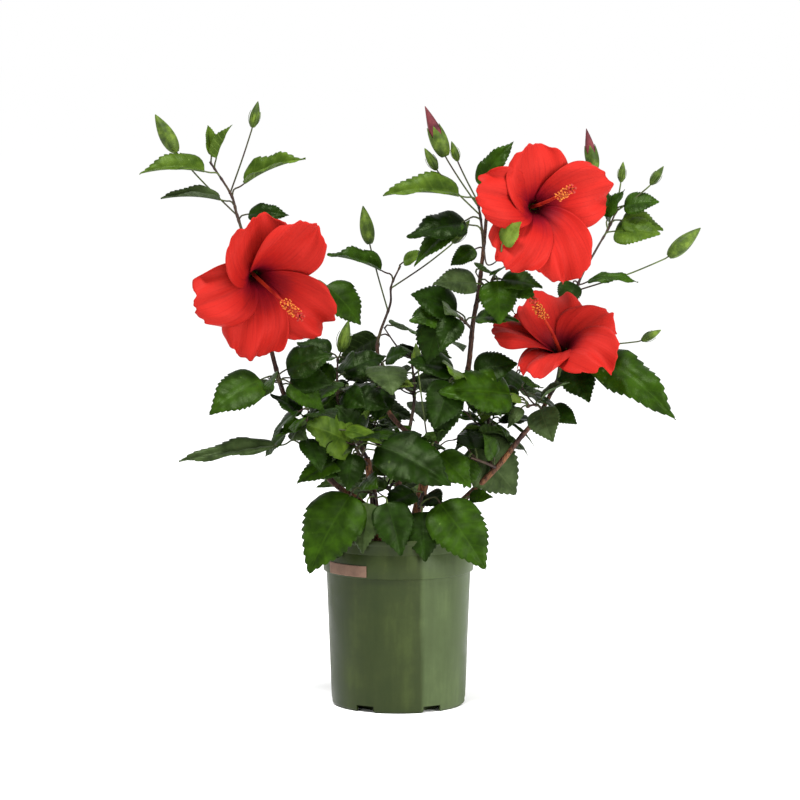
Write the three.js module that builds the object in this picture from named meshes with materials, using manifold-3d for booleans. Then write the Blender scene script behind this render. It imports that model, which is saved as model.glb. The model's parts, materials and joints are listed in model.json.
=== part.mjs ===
// Hibiscus shrub in its nursery pot.
// Millimetres, +Z up, +X to the right and -Y to the front.
// The origin is the centre of the pot's flat foot.

import * as THREE from 'three';
import { mergeVertices } from 'three/addons/utils/BufferGeometryUtils.js';
import Module from 'manifold-3d';

const wasm = await Module();
wasm.setup();
const { Manifold, Mesh } = wasm;
const { lerp, degToRad, radToDeg } = THREE.MathUtils;

// Driving dimensions of the pot.
const rimDiameter = 150;
const potHeight = 170;
const footDiameter = 131;
const bandHeight = 38;
const bandStep = 3.4;
const lipHeight = 5;
const wall = 1.8;
const footCorner = 3.5;
const footRing = 5;
const grooveWidth = 14;
const grooveDepth = 6.5;
const drainCount = 6;
const drainWidth = 19;
const soilDepthBelowRim = 18;

// The clear gap that keeps two pieces apart where they meet.
const gap = 0.3;

// How far a joined surface may be evened out where its facets nearly agree.
const slack = 0.06;
const bloomSlack = 0.2;

// The plain sticker on the left front of the rim band.
const label = { width: 50, height: 11, bottom: 133.5, thick: 0.4, turn: -131 };

// Leaves: an ovate blade on a stalk. A habit says how a blade folds and arches, in degrees, and
// how far its stalk lifts it.
const blade = {
  stalk: 0.28,
  stalkRadius: 0.8,
  width: 0.74,
  thickness: 0.013,
  stations: [0, 0.18, 0.45, 0.78, 1],
};
const habits = {
  easy: { fold: 12, arch: 34, lift: 15 },
  arched: { fold: 14, arch: 58, lift: 10 },
  hanging: { fold: 8, arch: 30, lift: 45 },
  folded: { fold: 42, arch: 26, lift: 5 },
};
const goldenTurn = 137.5;
const lastNode = 0.97;
const stemStep = 18;
const twigRadius = 0.9;
const twigLeaves = 3;
const twigLeafLength = 44;
const stemLeafLength = 50;

// Blooms: five broad petals, a long column, and a green calyx behind.
const petal = {
  count: 5,
  length: 80,
  halfWidth: 34,
  widest: 0.8,
  shoulder: 1.25,
  rimRound: 0.16,
  thickness: 1.2,
  throatAngle: 22,
  rimAngle: 104,
  throatRadius: 3,
  overlap: 5,
  ruffle: 3.5,
};
const column = { length: 78, radius: 1.7, brushStart: 0.52, brushEnd: 0.9, brushRadius: 5.5 };
const calyx = { length: 24, radius: 6.5, below: 6 };
const budBody = { radius: 0.2, stations: 5 };

const groundLevel = potHeight - soilDepthBelowRim;

// Stems rise from the soil and boughs leave them. Each has a route, its two end radii, and the
// limb that it grows from.
const limbs = {
  stem_left: {
    route: [[-20, -8, groundLevel + gap], [-24, -14, 202], [-31, -18, 244]],
    radii: [4.8, 3.4],
    flare: 2.2,
  },
  stem_right: {
    route: [[11, 8, groundLevel + gap], [21, 8, 199], [31, 4, 237], [36, 1, 256]],
    radii: [5.6, 4.2],
    flare: 2.6,
  },
  bough_right: {
    route: [[26, 18, groundLevel + gap], [41, 16, 177], [60, 13, 195], [95, 8, 230], [119, 2, 261],
      [138, -4, 286], [155, -2, 318]],
    radii: [3.6, 2],
    flare: 1.4,
  },
  stem_back: {
    route: [[-4, 28, groundLevel + gap], [-3, 38, 190], [4, 52, 232], [10, 60, 258]],
    radii: [4, 2.6],
    flare: 1.6,
  },
  bough_left: {
    route: [[-24, -13, 190], [-40, -18, 203], [-66, -30, 224], [-88, -38, 260], [-104, -40, 291],
      [-116, -38, 325], [-130, -26, 380], [-149, -5, 455]],
    radii: [3, 1.7],
    parent: 'stem_left',
  },
  bough_centre: {
    route: [[31, 3, 243], [22, 6, 254], [9, 10, 265], [-9, 18, 284], [-18, 22, 311], [-21, 22, 351]],
    radii: [2.8, 1.8],
    parent: 'stem_right',
  },
  bough_up: {
    route: [[36.1, 0.8, 256.4], [44, -6, 281], [56, -12, 303], [67, -18, 328], [72, -24, 375],
      [77, -26, 404], [81, -28, 439], [85, -30, 481]],
    radii: [3.2, 1.6],
  },
};

// Leafy shoots. A shoot's stem starts in the middle of the limb that carries it and is cut clear
// of that limb. A leaf is [how far along the stem, turn about the vertical, rise, blade length,
// roll, habit]; a bud is [how far along, turn, rise, stalk length, bud length]. The seeded rule
// then adds twigs and leaves by the golden turn, inside the shoot's reach.
const shoots = {
  foliage_left_top: {
    parent: 'bough_left',
    route: [[-149, -5, 455], [-157, 0, 480], [-163, 0, 500], [-183, 0, 531]],
    radii: [1.6, 0.9],
    leaves: [
      [0.76, -165, 0, 64, -30, 'arched'],
      [0.42, 180, -5, 66, -20, 'arched'],
      [0.52, -15, 15, 66, 35, 'arched'],
      [0.9, -35, 60, 38, 0, 'folded'],
      [1, 120, 75, 30, 0, 'folded'],
      [0.26, 25, -5, 44, 0, 'easy'],
    ],
    buds: [[0.57, 10, 74, 64, 26], [0.3, 175, 42, 84, 42]],
    seed: 11,
  },
  foliage_left: {
    parent: 'bough_left',
    route: [[-112, -39, 313], [-116, -54, 324]],
    radii: [1.5, 1],
    leaves: [
      [1, -160, -30, 62, -50, 'easy'],
      [0.6, -165, -15, 24, -20, 'easy'],
      [0.9, -30, -10, 52, 40, 'easy'],
      [0.8, -75, -45, 42, 0, 'hanging'],
      [1, 10, 20, 46, 45, 'easy'],
    ],
    seed: 12,
  },
  foliage_left_low: {
    parent: 'bough_left',
    route: [[-88, -38, 259], [-93, -53, 262], [-88, -60, 286]],
    radii: [1.6, 1],
    leaves: [
      [0.3, -172, -18, 98, -20, 'arched'],
      [0.8, -150, -20, 26, -10, 'easy'],
      [1, -75, 0, 40, 10, 'easy'],
      [0.9, 170, 30, 36, -30, 'easy'],
      [0.5, -60, -50, 40, 0, 'hanging'],
    ],
    seed: 13,
  },
  foliage_inner: {
    parent: 'stem_left',
    route: [[-31, -18, 244], [-49, -18, 276], [-59, -15, 300], [-59, -12, 342]],
    radii: [2.2, 0.9],
    leaves: [
      [0.16, 165, 45, 56, -50, 'easy'],
      [0.14, -35, 60, 38, 20, 'folded'],
      [0.66, 150, 30, 40, -40, 'easy'],
      [0.52, -25, -15, 54, 40, 'easy'],
      [0.3, -160, 10, 46, -50, 'easy'],
      [0.76, 20, 20, 46, 40, 'easy'],
      [0.45, 60, 20, 48, 0, 'easy'],
      [0.7, -110, -20, 44, 0, 'hanging'],
    ],
    buds: [[1, -60, 80, 6, 30]],
    seed: 14,
  },
  foliage_front: {
    parent: 'stem_left',
    route: [[-30, -17, 236], [-36, -34, 246], [-44, -44, 262]],
    radii: [2, 1.1],
    leaves: [
      [0.8, -22, -22, 78, 45, 'easy'],
      [0.5, -155, 15, 56, -50, 'easy'],
      [0.6, -140, -30, 46, -30, 'easy'],
      [0.9, -60, 5, 40, 10, 'easy'],
    ],
    seed: 15,
  },
  foliage_skirt_left: {
    parent: 'stem_left',
    route: [[-23, -13, 194], [-24, -38, 211], [-21, -58, 209]],
    radii: [1.8, 1.1],
    leaves: [
      [0.72, -150, -50, 88, 0, 'hanging'],
      [0.95, -150, -58, 60, 0, 'hanging'],
      [1, -100, -62, 48, 0, 'hanging'],
      [0.9, -70, -65, 44, 0, 'hanging'],
    ],
    seed: 16,
  },
  foliage_skirt_right: {
    parent: 'stem_right',
    route: [[20, 8, 196], [24, -20, 210], [20, -46, 198]],
    radii: [1.8, 1.1],
    leaves: [
      [1, -45, -38, 88, 0, 'hanging'],
      [0.75, -105, -40, 46, 0, 'hanging'],
      [0.6, -30, -25, 48, 20, 'easy'],
      [0.5, -95, 5, 46, 0, 'easy'],
    ],
    seed: 17,
  },
  foliage_centre_front: {
    parent: 'stem_right',
    route: [[31, 4, 236], [30, -16, 246], [24, -34, 254]],
    radii: [1.8, 1],
    leaves: [
      [0.8, -35, -25, 52, 40, 'easy'],
      [0.9, -60, 25, 36, 0, 'easy'],
    ],
    seed: 18,
  },
  foliage_centre_mid: {
    parent: 'bough_centre',
    route: [[-17, 21, 304], [-18, 4, 318], [-16, -14, 336]],
    radii: [1.6, 0.9],
    leaves: [
      [0.64, -120, -40, 50, 0, 'easy'],
      [0.9, -25, 0, 44, 40, 'arched'],
      [0.64, 150, 45, 46, -40, 'easy'],
      [0.9, 15, 5, 36, 40, 'easy'],
      [0.52, -55, -50, 48, 0, 'easy'],
      [1, 170, 25, 46, -50, 'easy'],
    ],
    seed: 19,
  },
  foliage_centre_top: {
    parent: 'bough_centre',
    route: [[-21, 22, 351], [-17, 22, 366], [-8, 20, 391], [-7, 18, 409], [2, 15, 429]],
    radii: [1.6, 0.8],
    leaves: [
      [0.8, -170, 15, 60, -35, 'arched'],
      [1, -10, 25, 26, 20, 'folded'],
      [0.3, -170, 30, 60, -40, 'arched'],
      [0.6, -20, 0, 52, 30, 'easy'],
      [0.2, 170, -5, 42, -40, 'easy'],
      [0.2, 60, 20, 44, 0, 'easy'],
    ],
    buds: [[0.42, 175, 80, 88, 30], [0.88, 180, 65, 46, 30], [0.7, -10, 34, 74, 28]],
    seed: 20,
  },
  foliage_up_top: {
    parent: 'bough_up',
    route: [[82, -28, 448], [80, -38, 470], [76, -40, 496]],
    radii: [1.5, 0.9],
    leaves: [
      [0.9, -175, 0, 78, -30, 'arched'],
      [0.5, -165, -5, 60, -45, 'arched'],
      [0.35, -155, -20, 50, -40, 'easy'],
    ],
    buds: [[0.85, 178, 58, 56, 52], [0.7, 175, 52, 56, 20], [0.95, 165, 76, 46, 18]],
    seed: 21,
  },
  foliage_up_mid: {
    parent: 'bough_up',
    route: [[75, -25, 394], [84, -38, 406], [92, -40, 422]],
    radii: [1.5, 0.9],
    leaves: [
      [0.6, -158, 5, 60, -35, 'easy'],
      [1, -80, -50, 58, 10, 'hanging'],
      [0.8, -25, -10, 44, 40, 'easy'],
    ],
    seed: 22,
  },
  foliage_up_left: {
    parent: 'bough_up',
    route: [[71, -23, 370], [64, -38, 378], [54, -46, 388]],
    radii: [1.5, 0.9],
    leaves: [
      [0.9, -170, 15, 54, -45, 'easy'],
      [0.8, -150, -15, 54, -45, 'easy'],
      [1, -120, -55, 50, 0, 'hanging'],
      [0.5, -20, -5, 44, 30, 'easy'],
      [0.7, -70, -50, 44, 0, 'hanging'],
    ],
    seed: 23,
  },
  foliage_right_mid: {
    parent: 'bough_right',
    route: [[140, -4, 290], [134, -22, 296], [124, -34, 296]],
    radii: [1.5, 1],
    leaves: [
      [1, -158, -8, 82, -40, 'easy'],
      [0.3, -25, 0, 52, 30, 'arched'],
      [0.6, -15, 30, 32, 20, 'folded'],
      [0.9, -100, -50, 34, 0, 'hanging'],
      [0.5, 165, 20, 60, -40, 'easy'],
    ],
    seed: 25,
  },
  foliage_up_low: {
    parent: 'bough_up',
    route: [[62, -15, 315], [64, -34, 322], [58, -46, 322]],
    radii: [1.5, 0.9],
    leaves: [
      [0.8, -75, -50, 56, 0, 'hanging'],
      [1, -140, -45, 54, 0, 'hanging'],
      [0.4, 20, 8, 52, 45, 'easy'],
      [0.7, -165, 10, 48, -45, 'easy'],
    ],
    seed: 24,
  },
  foliage_right_low: {
    parent: 'bough_right',
    route: [[96, 8, 231], [84, -8, 238], [70, -18, 244]],
    radii: [1.6, 1.1],
    leaves: [
      [1, -50, -50, 62, 0, 'hanging'],
      [0.5, -40, -25, 34, 0, 'easy'],
      [0.6, 40, 60, 36, 0, 'easy'],
      [0.7, -30, 15, 38, 20, 'easy'],
      [0.8, 100, 20, 44, 0, 'easy'],
    ],
    seed: 26,
  },
  foliage_right_top: {
    parent: 'bough_right',
    route: [[155, -2, 318], [164, 15, 361], [176, 30, 409], [194, 30, 444], [206, 30, 465],
      [215, 30, 486]],
    radii: [1.9, 0.8],
    leaves: [
      [0.08, -40, -45, 48, 15, 'hanging'],
      [0.12, -30, -34, 104, 40, 'arched'],
      [0.82, -20, 5, 48, 45, 'easy'],
      [0.92, -5, 10, 46, 45, 'easy'],
      [0.88, 145, 60, 38, 0, 'easy'],
      [0.5, -10, 0, 52, 30, 'arched'],
      [0.54, -140, -40, 30, 0, 'hanging'],
      [0.3, 60, 5, 52, 0, 'easy'],
      [0.66, 130, 15, 44, 0, 'easy'],
    ],
    buds: [[0.9, 165, 74, 54, 44], [1, 10, 82, 36, 20], [1, -10, 42, 52, 20], [0.5, -5, 18, 104, 36],
      [0.2, -10, 8, 90, 18]],
    seed: 27,
  },
  foliage_back: {
    parent: 'stem_back',
    route: [[10, 60, 258], [16, 74, 296], [12, 86, 340]],
    radii: [2, 0.9],
    leaves: [],
    twigs: 4,
    extra: 6,
    reach: 85,
    seed: 31,
  },
  foliage_back_low: {
    parent: 'stem_back',
    route: [[-4, 34, 184], [-4, 50, 198], [-14, 62, 206]],
    radii: [1.8, 1],
    leaves: [
      [0.7, 170, -5, 62, -30, 'easy'],
      [0.8, 25, -5, 60, 30, 'easy'],
      [1, 125, -35, 60, 0, 'hanging'],
      [0.9, 60, -30, 64, 0, 'hanging'],
      [0.5, -160, 10, 46, -30, 'easy'],
      [0.6, -15, 15, 44, 30, 'easy'],
      [1, 95, 20, 44, 0, 'easy'],
    ],
    seed: 34,
  },
  foliage_back_left: {
    parent: 'stem_back',
    route: [[2, 50, 228], [-30, 70, 258], [-54, 84, 300]],
    radii: [2, 0.9],
    leaves: [],
    twigs: 3,
    extra: 6,
    reach: 80,
    seed: 32,
  },
  foliage_back_right: {
    parent: 'bough_right',
    route: [[92, 9, 227], [88, 40, 256], [92, 66, 300]],
    radii: [2, 0.9],
    leaves: [],
    twigs: 3,
    extra: 6,
    reach: 80,
    seed: 33,
  },
};

// Each bloom: where its stalk leaves the limb, the foot of its calyx, the way it faces, how its
// five petals are turned round that axis, and its size.
const blooms = {
  bloom_left: {
    parent: 'bough_left',
    from: [-149, -5, 455],
    throat: [-139, -60, 420],
    faces: [0.39, -0.88, -0.27],
    spin: 96,
    scale: 1.08,
  },
  bloom_upper_right: {
    parent: 'bough_up',
    from: [85, -30, 481],
    throat: [137, -68, 483],
    faces: [0.39, -0.9, 0.16],
    spin: 90,
    scale: 1.02,
  },
  bloom_lower_right: {
    parent: 'bough_right',
    from: [147, -4, 302],
    throat: [155, -40, 354],
    faces: [-0.11, -0.54, 0.83],
    spin: 92,
    scale: 0.95,
  },
};

const colours = {
  pot: { color: '#5b6b3c', roughness: 0.5 },
  soil: { color: '#3a2a1e', roughness: 0.95 },
  label: { color: '#b98468', roughness: 0.8 },
  bark: { color: '#6a4a33', roughness: 0.8 },
  leaf: { color: '#3f6f2c', roughness: 0.45 },
  bloom: { color: '#e03428', roughness: 0.55 },
};

function seeded(seed) {
  let state = seed;
  return () => {
    state = (state * 1664525 + 1013904223) % 4294967296;
    return state / 4294967296;
  };
}

function heading(turn, rise) {
  const t = degToRad(turn);
  const r = degToRad(rise);
  return new THREE.Vector3(Math.cos(r) * Math.cos(t), Math.cos(r) * Math.sin(t), Math.sin(r));
}

function routeCurve(route) {
  const points = route.map((p) => new THREE.Vector3(...p));
  return new THREE.CatmullRomCurve3(points, false, 'catmullrom', 0.5);
}

// A closed geometry as a solid, its shared vertices merged.
function solid(geometry) {
  const bare = geometry.clone();
  bare.deleteAttribute('normal');
  bare.deleteAttribute('uv');
  const merged = mergeVertices(bare, 1e-4);
  return new Manifold(new Mesh({
    numProp: 3,
    vertProperties: new Float32Array(merged.attributes.position.array),
    triVerts: new Uint32Array(merged.index.array),
  }));
}

// Every vertex of a plain geometry is moved to where the function puts it.
function bent(geometry, place) {
  const position = geometry.attributes.position;
  for (let i = 0; i < position.count; i += 1) {
    const spot = place(position.getX(i), position.getY(i), position.getZ(i));
    position.setXYZ(i, spot.x, spot.y, spot.z);
  }
  return geometry;
}

function rodSteps(curve, step) {
  return Math.max(2, Math.round(curve.getLength() / step));
}

// A round rod along a curve. radiusAt takes the way along, 0 to 1; grow widens and lengthens it.
function rod(curve, radiusAt, { sides = 6, step = 16, grow = 0, foot = null } = {}) {
  const steps = rodSteps(curve, step);
  const frames = curve.computeFrenetFrames(steps);
  return bent(new THREE.CylinderGeometry(1, 1, 1, sides, steps), (x, y, z) => {
    const i = Math.round((y + 0.5) * steps);
    const radius = radiusAt(i / steps) + grow;
    const spot = curve.getPointAt(i / steps);
    spot.addScaledVector(frames.binormals[i], x * radius);
    spot.addScaledVector(frames.normals[i], z * radius);
    if (grow > 0 && (i === 0 || i === steps)) {
      spot.addScaledVector(frames.tangents[i], i === 0 ? -grow : grow);
    }
    if (foot !== null && i === 0) {
      spot.z = foot;
    }
    return spot;
  });
}

// The point on a rod's middle line, which runs straight from ring to ring.
function onRod(curve, along, step) {
  const steps = rodSteps(curve, step);
  const ring = Math.min(Math.floor(along * steps), steps - 1);
  const low = curve.getPointAt(ring / steps);
  return low.lerp(curve.getPointAt((ring + 1) / steps), along * steps - ring);
}

function taper(radii, flare = 0, length = 1) {
  return (t) => lerp(radii[0], radii[1], t) + flare * Math.exp(-t * length / 9);
}

// The largest of a solid's separate bodies, so no scrap or sealed hollow is left.
function mainBody(shape) {
  return shape.decompose().reduce((a, b) => (b.volume() > a.volume() ? b : a));
}

function limbSolid(limb, grow = 0) {
  const curve = routeCurve(limb.route);
  const foot = limb.flare ? groundLevel + gap - grow : null;
  const radiusAt = taper(limb.radii, limb.flare, curve.getLength());
  return solid(rod(curve, radiusAt, { grow, foot }));
}

// The blade's half width, as a share of its greatest, from base to tip.
function leafOutline(u) {
  return (u ** 0.5 * (1 - u) ** 0.9) / 0.407;
}

// One leaf: its stalk starts inside the stem, and its blade arches by its habit over a keel that
// stands for the midrib. A folded leaf is a narrow one.
function leafSolid(node, [, turn, rise, length, roll, habit], grow = 0) {
  const { fold, arch, lift } = habits[habit];
  const forward = heading(turn, rise);
  const flatUp = heading(turn, rise + 90);
  const side = new THREE.Vector3().crossVectors(flatUp, forward);
  const lean = degToRad(roll);
  const up = flatUp.multiplyScalar(Math.cos(lean)).addScaledVector(side, Math.sin(lean));
  side.crossVectors(up, forward);
  const base = node.clone();
  base.addScaledVector(heading(turn, rise + arch / 2 + lift), blade.stalk * length);
  const swing = degToRad(arch);
  const spread = Math.cos(degToRad(fold));
  const rings = blade.stations.length;
  return solid(bent(new THREE.CylinderGeometry(1, 1, 1, 3, rings), (x, y, z) => {
    const ring = Math.round((y + 0.5) * rings);
    if (ring <= 1) {
      const radius = blade.stalkRadius + grow;
      const spot = (ring === 0 ? node : base).clone();
      return spot.addScaledVector(side, x * radius).addScaledVector(up, -z * radius);
    }
    const u = blade.stations[ring - 1];
    const angle = swing * (0.5 - u);
    const half = Math.max(0.3, 0.5 * blade.width * length * leafOutline(u) * spread) + grow;
    const keel = Math.max(0.3, blade.thickness * length * (1 - 0.7 * u)) + grow;
    const normal = up.clone().multiplyScalar(Math.cos(angle));
    normal.addScaledVector(forward, -Math.sin(angle));
    const spot = base.clone();
    spot.addScaledVector(forward, length * (Math.sin(swing / 2) - Math.sin(angle)) / swing);
    spot.addScaledVector(up, length * (Math.cos(angle) - Math.cos(swing / 2)) / swing);
    spot.addScaledVector(side, Math.sign(Math.round(x * 10)) * half);
    return spot.addScaledVector(normal, z > 0.5 ? -keel : grow);
  }));
}

// A bud on its stalk, which leaves the stem as the bud's row says and turns upwards.
function budSolid(node, [, turn, rise, stalk, length], grow = 0) {
  const way = heading(turn, rise);
  const mid = node.clone().addScaledVector(way, stalk * 0.55);
  const end = node.clone().addScaledVector(way, stalk).add(new THREE.Vector3(0, 0, stalk * 0.05));
  const up = end.clone().sub(mid).normalize().lerp(new THREE.Vector3(0, 0, 1), 0.3).normalize();
  const tip = end.clone().addScaledVector(up, length);
  const foot = end.clone().addScaledVector(up, 2);
  const stem = new THREE.CatmullRomCurve3([node, mid, foot], false, 'catmullrom', 0.5);
  const body = new THREE.LineCurve3(end, tip);
  const stalkPart = solid(rod(stem, () => 0.8, { sides: 3, step: 24, grow }));
  const spindle = (t) => Math.sin(Math.PI * (0.12 + 0.84 * t ** 0.8)) ** 0.8;
  const swell = (t) => length * budBody.radius * spindle(t);
  const bodyPart = solid(rod(body, swell, { sides: 6, step: length / budBody.stations, grow }));
  return stalkPart.add(bodyPart);
}

// The seeded rule for leaves along a stem or twig: one after another by the golden turn.
function ruleLeaves(random, count, from, to, size) {
  const first = random() * 360;
  return Array.from({ length: count }, (_, i) => [
    lerp(from, to, (i + 0.5) / count),
    first + goldenTurn * i,
    lerp(-40, 25, random()),
    size * lerp(0.8, 1.15, random()),
    lerp(-15, 15, random()),
    'easy',
  ]);
}

function ruleTwig(random, curve, along, turn) {
  const start = curve.getPointAt(along);
  const way = heading(turn, lerp(5, 45, random()));
  const length = lerp(26, 44, random());
  const mid = start.clone().addScaledVector(way, length * 0.5);
  const end = start.clone().addScaledVector(way, length).add(new THREE.Vector3(0, 0, length * 0.2));
  return new THREE.CatmullRomCurve3([start, mid, end], false, 'catmullrom', 0.5);
}

function stemSolid(shoot) {
  return solid(rod(routeCurve(shoot.route), taper(shoot.radii), { sides: 5, step: stemStep }));
}

function twigSolid(twig, grow = 0) {
  return solid(rod(twig, () => twigRadius, { sides: 3, step: stemStep, grow }));
}

// One mass: the stem, its placed leaves and buds, then the rule's twigs and leaves. What would
// touch a limb, a bloom or another mass, or leave the shoot's reach, is skipped.
function shootSolid(shoot, taken) {
  const random = seeded(shoot.seed);
  const curve = routeCurve(shoot.route);
  const middle = curve.getPointAt(0.5);
  const parts = [stemSolid(shoot)];
  const isFree = (piece) => taken.every((other) => piece.intersect(other).isEmpty());
  const addLeaf = (stem, row, reach = Infinity) => {
    const node = onRod(stem, Math.min(row[0], lastNode), stemStep);
    const tip = heading(row[1], row[2]).multiplyScalar(row[3] * (1 + blade.stalk)).add(node);
    if (tip.distanceTo(middle) < reach && isFree(leafSolid(node, row, gap))) {
      parts.push(leafSolid(node, row));
    }
  };
  shoot.leaves.forEach((row) => addLeaf(curve, row));
  (shoot.buds ?? []).forEach((row) => {
    const node = onRod(curve, Math.min(row[0], lastNode), stemStep);
    if (isFree(budSolid(node, row, gap))) {
      parts.push(budSolid(node, row));
    }
  });
  const firstTurn = random() * 360;
  for (let i = 0; i < (shoot.twigs ?? 0); i += 1) {
    const along = lerp(0.2, 1, (i + 0.5) / shoot.twigs);
    const twig = ruleTwig(random, curve, along, firstTurn + goldenTurn * i);
    const rows = ruleLeaves(random, twigLeaves, 0.4, 1.1, twigLeafLength);
    if (isFree(twigSolid(twig, gap))) {
      parts.push(twigSolid(twig));
      rows.forEach((row) => addLeaf(twig, row, shoot.reach));
    }
  }
  ruleLeaves(random, shoot.extra ?? 0, 0.25, 1, stemLeafLength)
    .forEach((row) => addLeaf(curve, row, shoot.reach));
  const parent = limbSolid(limbs[shoot.parent], gap);
  return mainBody(Manifold.union(parts).subtract(parent).simplify(slack));
}

// The petal's half width, as a share of its greatest: a slow rise, then a round shoulder.
function petalOutline(s) {
  if (s < petal.widest) {
    return Math.sin((Math.PI / 2) * (s / petal.widest)) ** 1.1;
  }
  return Math.sqrt(1 - ((s - petal.widest) / (petal.shoulder - petal.widest)) ** 2);
}

// One petal, along s from its claw to its rim and across v from edge to edge: it climbs out of
// the throat, spreads, and ruffles towards its round rim. off is the way out from its middle.
function petalPoint(s, v, turn, scale, phase, off) {
  const from = degToRad(petal.throatAngle);
  const swing = degToRad(petal.rimAngle) - from;
  const length = petal.length * scale;
  const angle = from + swing * s * (1 - petal.rimRound * (s * v) ** 2);
  const half = Math.max(3, petal.halfWidth * scale * petalOutline(s));
  let radius = petal.throatRadius + (length / swing) * (Math.cos(from) - Math.cos(angle));
  let height = (length / swing) * (Math.sin(angle) - Math.sin(from));
  const around = degToRad(turn) + (v * half) / Math.max(radius, 9);
  height += petal.overlap * scale * v * Math.min(1, s * 2);
  height += petal.ruffle * scale * s * s * Math.sin(4.4 * v + 6 * s + phase) - 3 * s * v * v;
  radius -= off * Math.cos(angle);
  height += off * Math.sin(angle);
  return new THREE.Vector3(radius * Math.cos(around), radius * Math.sin(around), height);
}

function petalSolid(turn, scale, phase, place) {
  return solid(bent(new THREE.BoxGeometry(2, 1, 1, 4, 4, 1), (x, y, z) => (
    place(petalPoint(y + 0.5, -x, turn, scale, phase, z * petal.thickness))
  )));
}

// A bloom: stalk, calyx, petals and column in one body, set at its throat and facing its way.
function bloomSolid(bloom) {
  const faces = new THREE.Vector3(...bloom.faces).normalize();
  const across = new THREE.Vector3().crossVectors(new THREE.Vector3(0, 0, 1), faces).normalize();
  const over = new THREE.Vector3().crossVectors(faces, across);
  const throat = new THREE.Vector3(...bloom.throat);
  const place = (p) => throat.clone()
    .addScaledVector(across, p.x)
    .addScaledVector(over, p.y)
    .addScaledVector(faces, p.z - calyx.length * 0.7);
  const straight = (from, to) => new THREE.LineCurve3(place(from), place(to));
  const parts = [];
  for (let i = 0; i < petal.count; i += 1) {
    const turn = bloom.spin + (360 / petal.count) * i;
    parts.push(petalSolid(turn, bloom.scale, i * 1.7, place));
  }
  const foot = new THREE.Vector3(0, 0, -calyx.below);
  const cup = straight(foot, new THREE.Vector3(0, 0, calyx.length - calyx.below));
  parts.push(solid(rod(cup, (t) => calyx.radius * (0.55 + 0.5 * t), { sides: 8, step: 8 })));
  const tip = new THREE.Vector3(0, 0, column.length * bloom.scale);
  const tube = straight(new THREE.Vector3(0, 0, 0), tip);
  const brush = (t) => {
    const inside = (t - column.brushStart) / (column.brushEnd - column.brushStart);
    const swell = inside > 0 && inside < 1 ? Math.sin(Math.PI * inside) : 0;
    return column.radius + swell * (column.brushRadius - column.radius);
  };
  parts.push(solid(rod(tube, brush, { sides: 6, step: 6 })));
  const start = new THREE.Vector3(...bloom.from);
  const end = place(foot);
  const bow = start.clone().lerp(end, 0.5).addScaledVector(faces, -8);
  const last = place(new THREE.Vector3(0, 0, 0));
  const stalk = new THREE.CatmullRomCurve3([start, bow, end, last], false, 'catmullrom', 0.5);
  parts.push(solid(rod(stalk, () => 1.3, { sides: 6, step: 10 })));
  const parent = limbSolid(limbs[bloom.parent], gap);
  return mainBody(Manifold.union(parts).subtract(parent).simplify(bloomSlack));
}

// Pot: a turned shell with a stepped rim band, a foot ring and a sunk ring round its middle, and
// drain notches through the foot ring into it.
const rimRadius = rimDiameter / 2;
const footRadius = footDiameter / 2;
const bandFoot = potHeight - bandHeight;
const grooveOuter = footRadius - footRing + 2.4;
const grooveInner = grooveOuter - grooveWidth;
const underBand = rimRadius - 1 - bandStep;

function wallRadius(z) {
  return lerp(footRadius, underBand, z / bandFoot);
}

function arc(cx, cz, radius, from, to, steps) {
  return Array.from({ length: steps + 1 }, (_, i) => {
    const a = degToRad(lerp(from, to, i / steps));
    return [cx + radius * Math.cos(a), cz + radius * Math.sin(a)];
  });
}

function turned(profile, segments) {
  const points = profile.map(([r, z]) => new THREE.Vector2(Math.max(r, 0), z));
  return new THREE.LatheGeometry(points, segments).rotateX(Math.PI / 2);
}

function potSolid() {
  const inner = (z) => wallRadius(z) - wall;
  const floorTop = grooveDepth + wall;
  const shell = solid(turned([
    [0, 0],
    [grooveInner, 0],
    [grooveInner, grooveDepth],
    [grooveOuter, grooveDepth],
    [grooveOuter, 0],
    ...arc(footRadius - footCorner, footCorner, footCorner, -90, 0, 3),
    [underBand, bandFoot],
    [rimRadius - 1.4, bandFoot + 1],
    [rimRadius - 0.8, potHeight - lipHeight],
    ...arc(rimRadius - 1.2, potHeight - 1.2, 1.2, 0, 90, 2),
    [rimRadius - 0.8 - wall, potHeight],
    [rimRadius - 1.4 - wall, bandFoot + 3],
    [inner(bandFoot), bandFoot],
    [inner(floorTop), floorTop],
    [grooveInner - wall, floorTop],
    [grooveInner - wall - 2, wall],
    [0, wall],
  ], 32));
  const cutter = new THREE.BoxGeometry(drainWidth, footRing * 3, grooveDepth * 2);
  const notch = solid(cutter.translate(0, -footRadius, 0));
  const notches = Array.from({ length: drainCount }, (_, i) => (
    notch.rotate([0, 0, 30 + (i * 360) / drainCount])
  ));
  return shell.subtract(Manifold.union(notches));
}

function soilSolid() {
  const clear = wall + gap;
  const floorTop = grooveDepth + wall + gap;
  const inner = (z) => wallRadius(z) - clear;
  return solid(turned([
    [0, clear],
    [grooveInner - wall - 2.3, clear],
    [grooveInner - wall - gap, floorTop],
    [inner(floorTop), floorTop],
    [inner(bandFoot), bandFoot],
    [rimRadius - 1.4 - clear, bandFoot + 3.2],
    [rimRadius - 1.3 - clear, groundLevel - 2],
    [rimRadius - 6 - clear, groundLevel],
    [0, groundLevel],
  ], 32));
}

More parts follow.
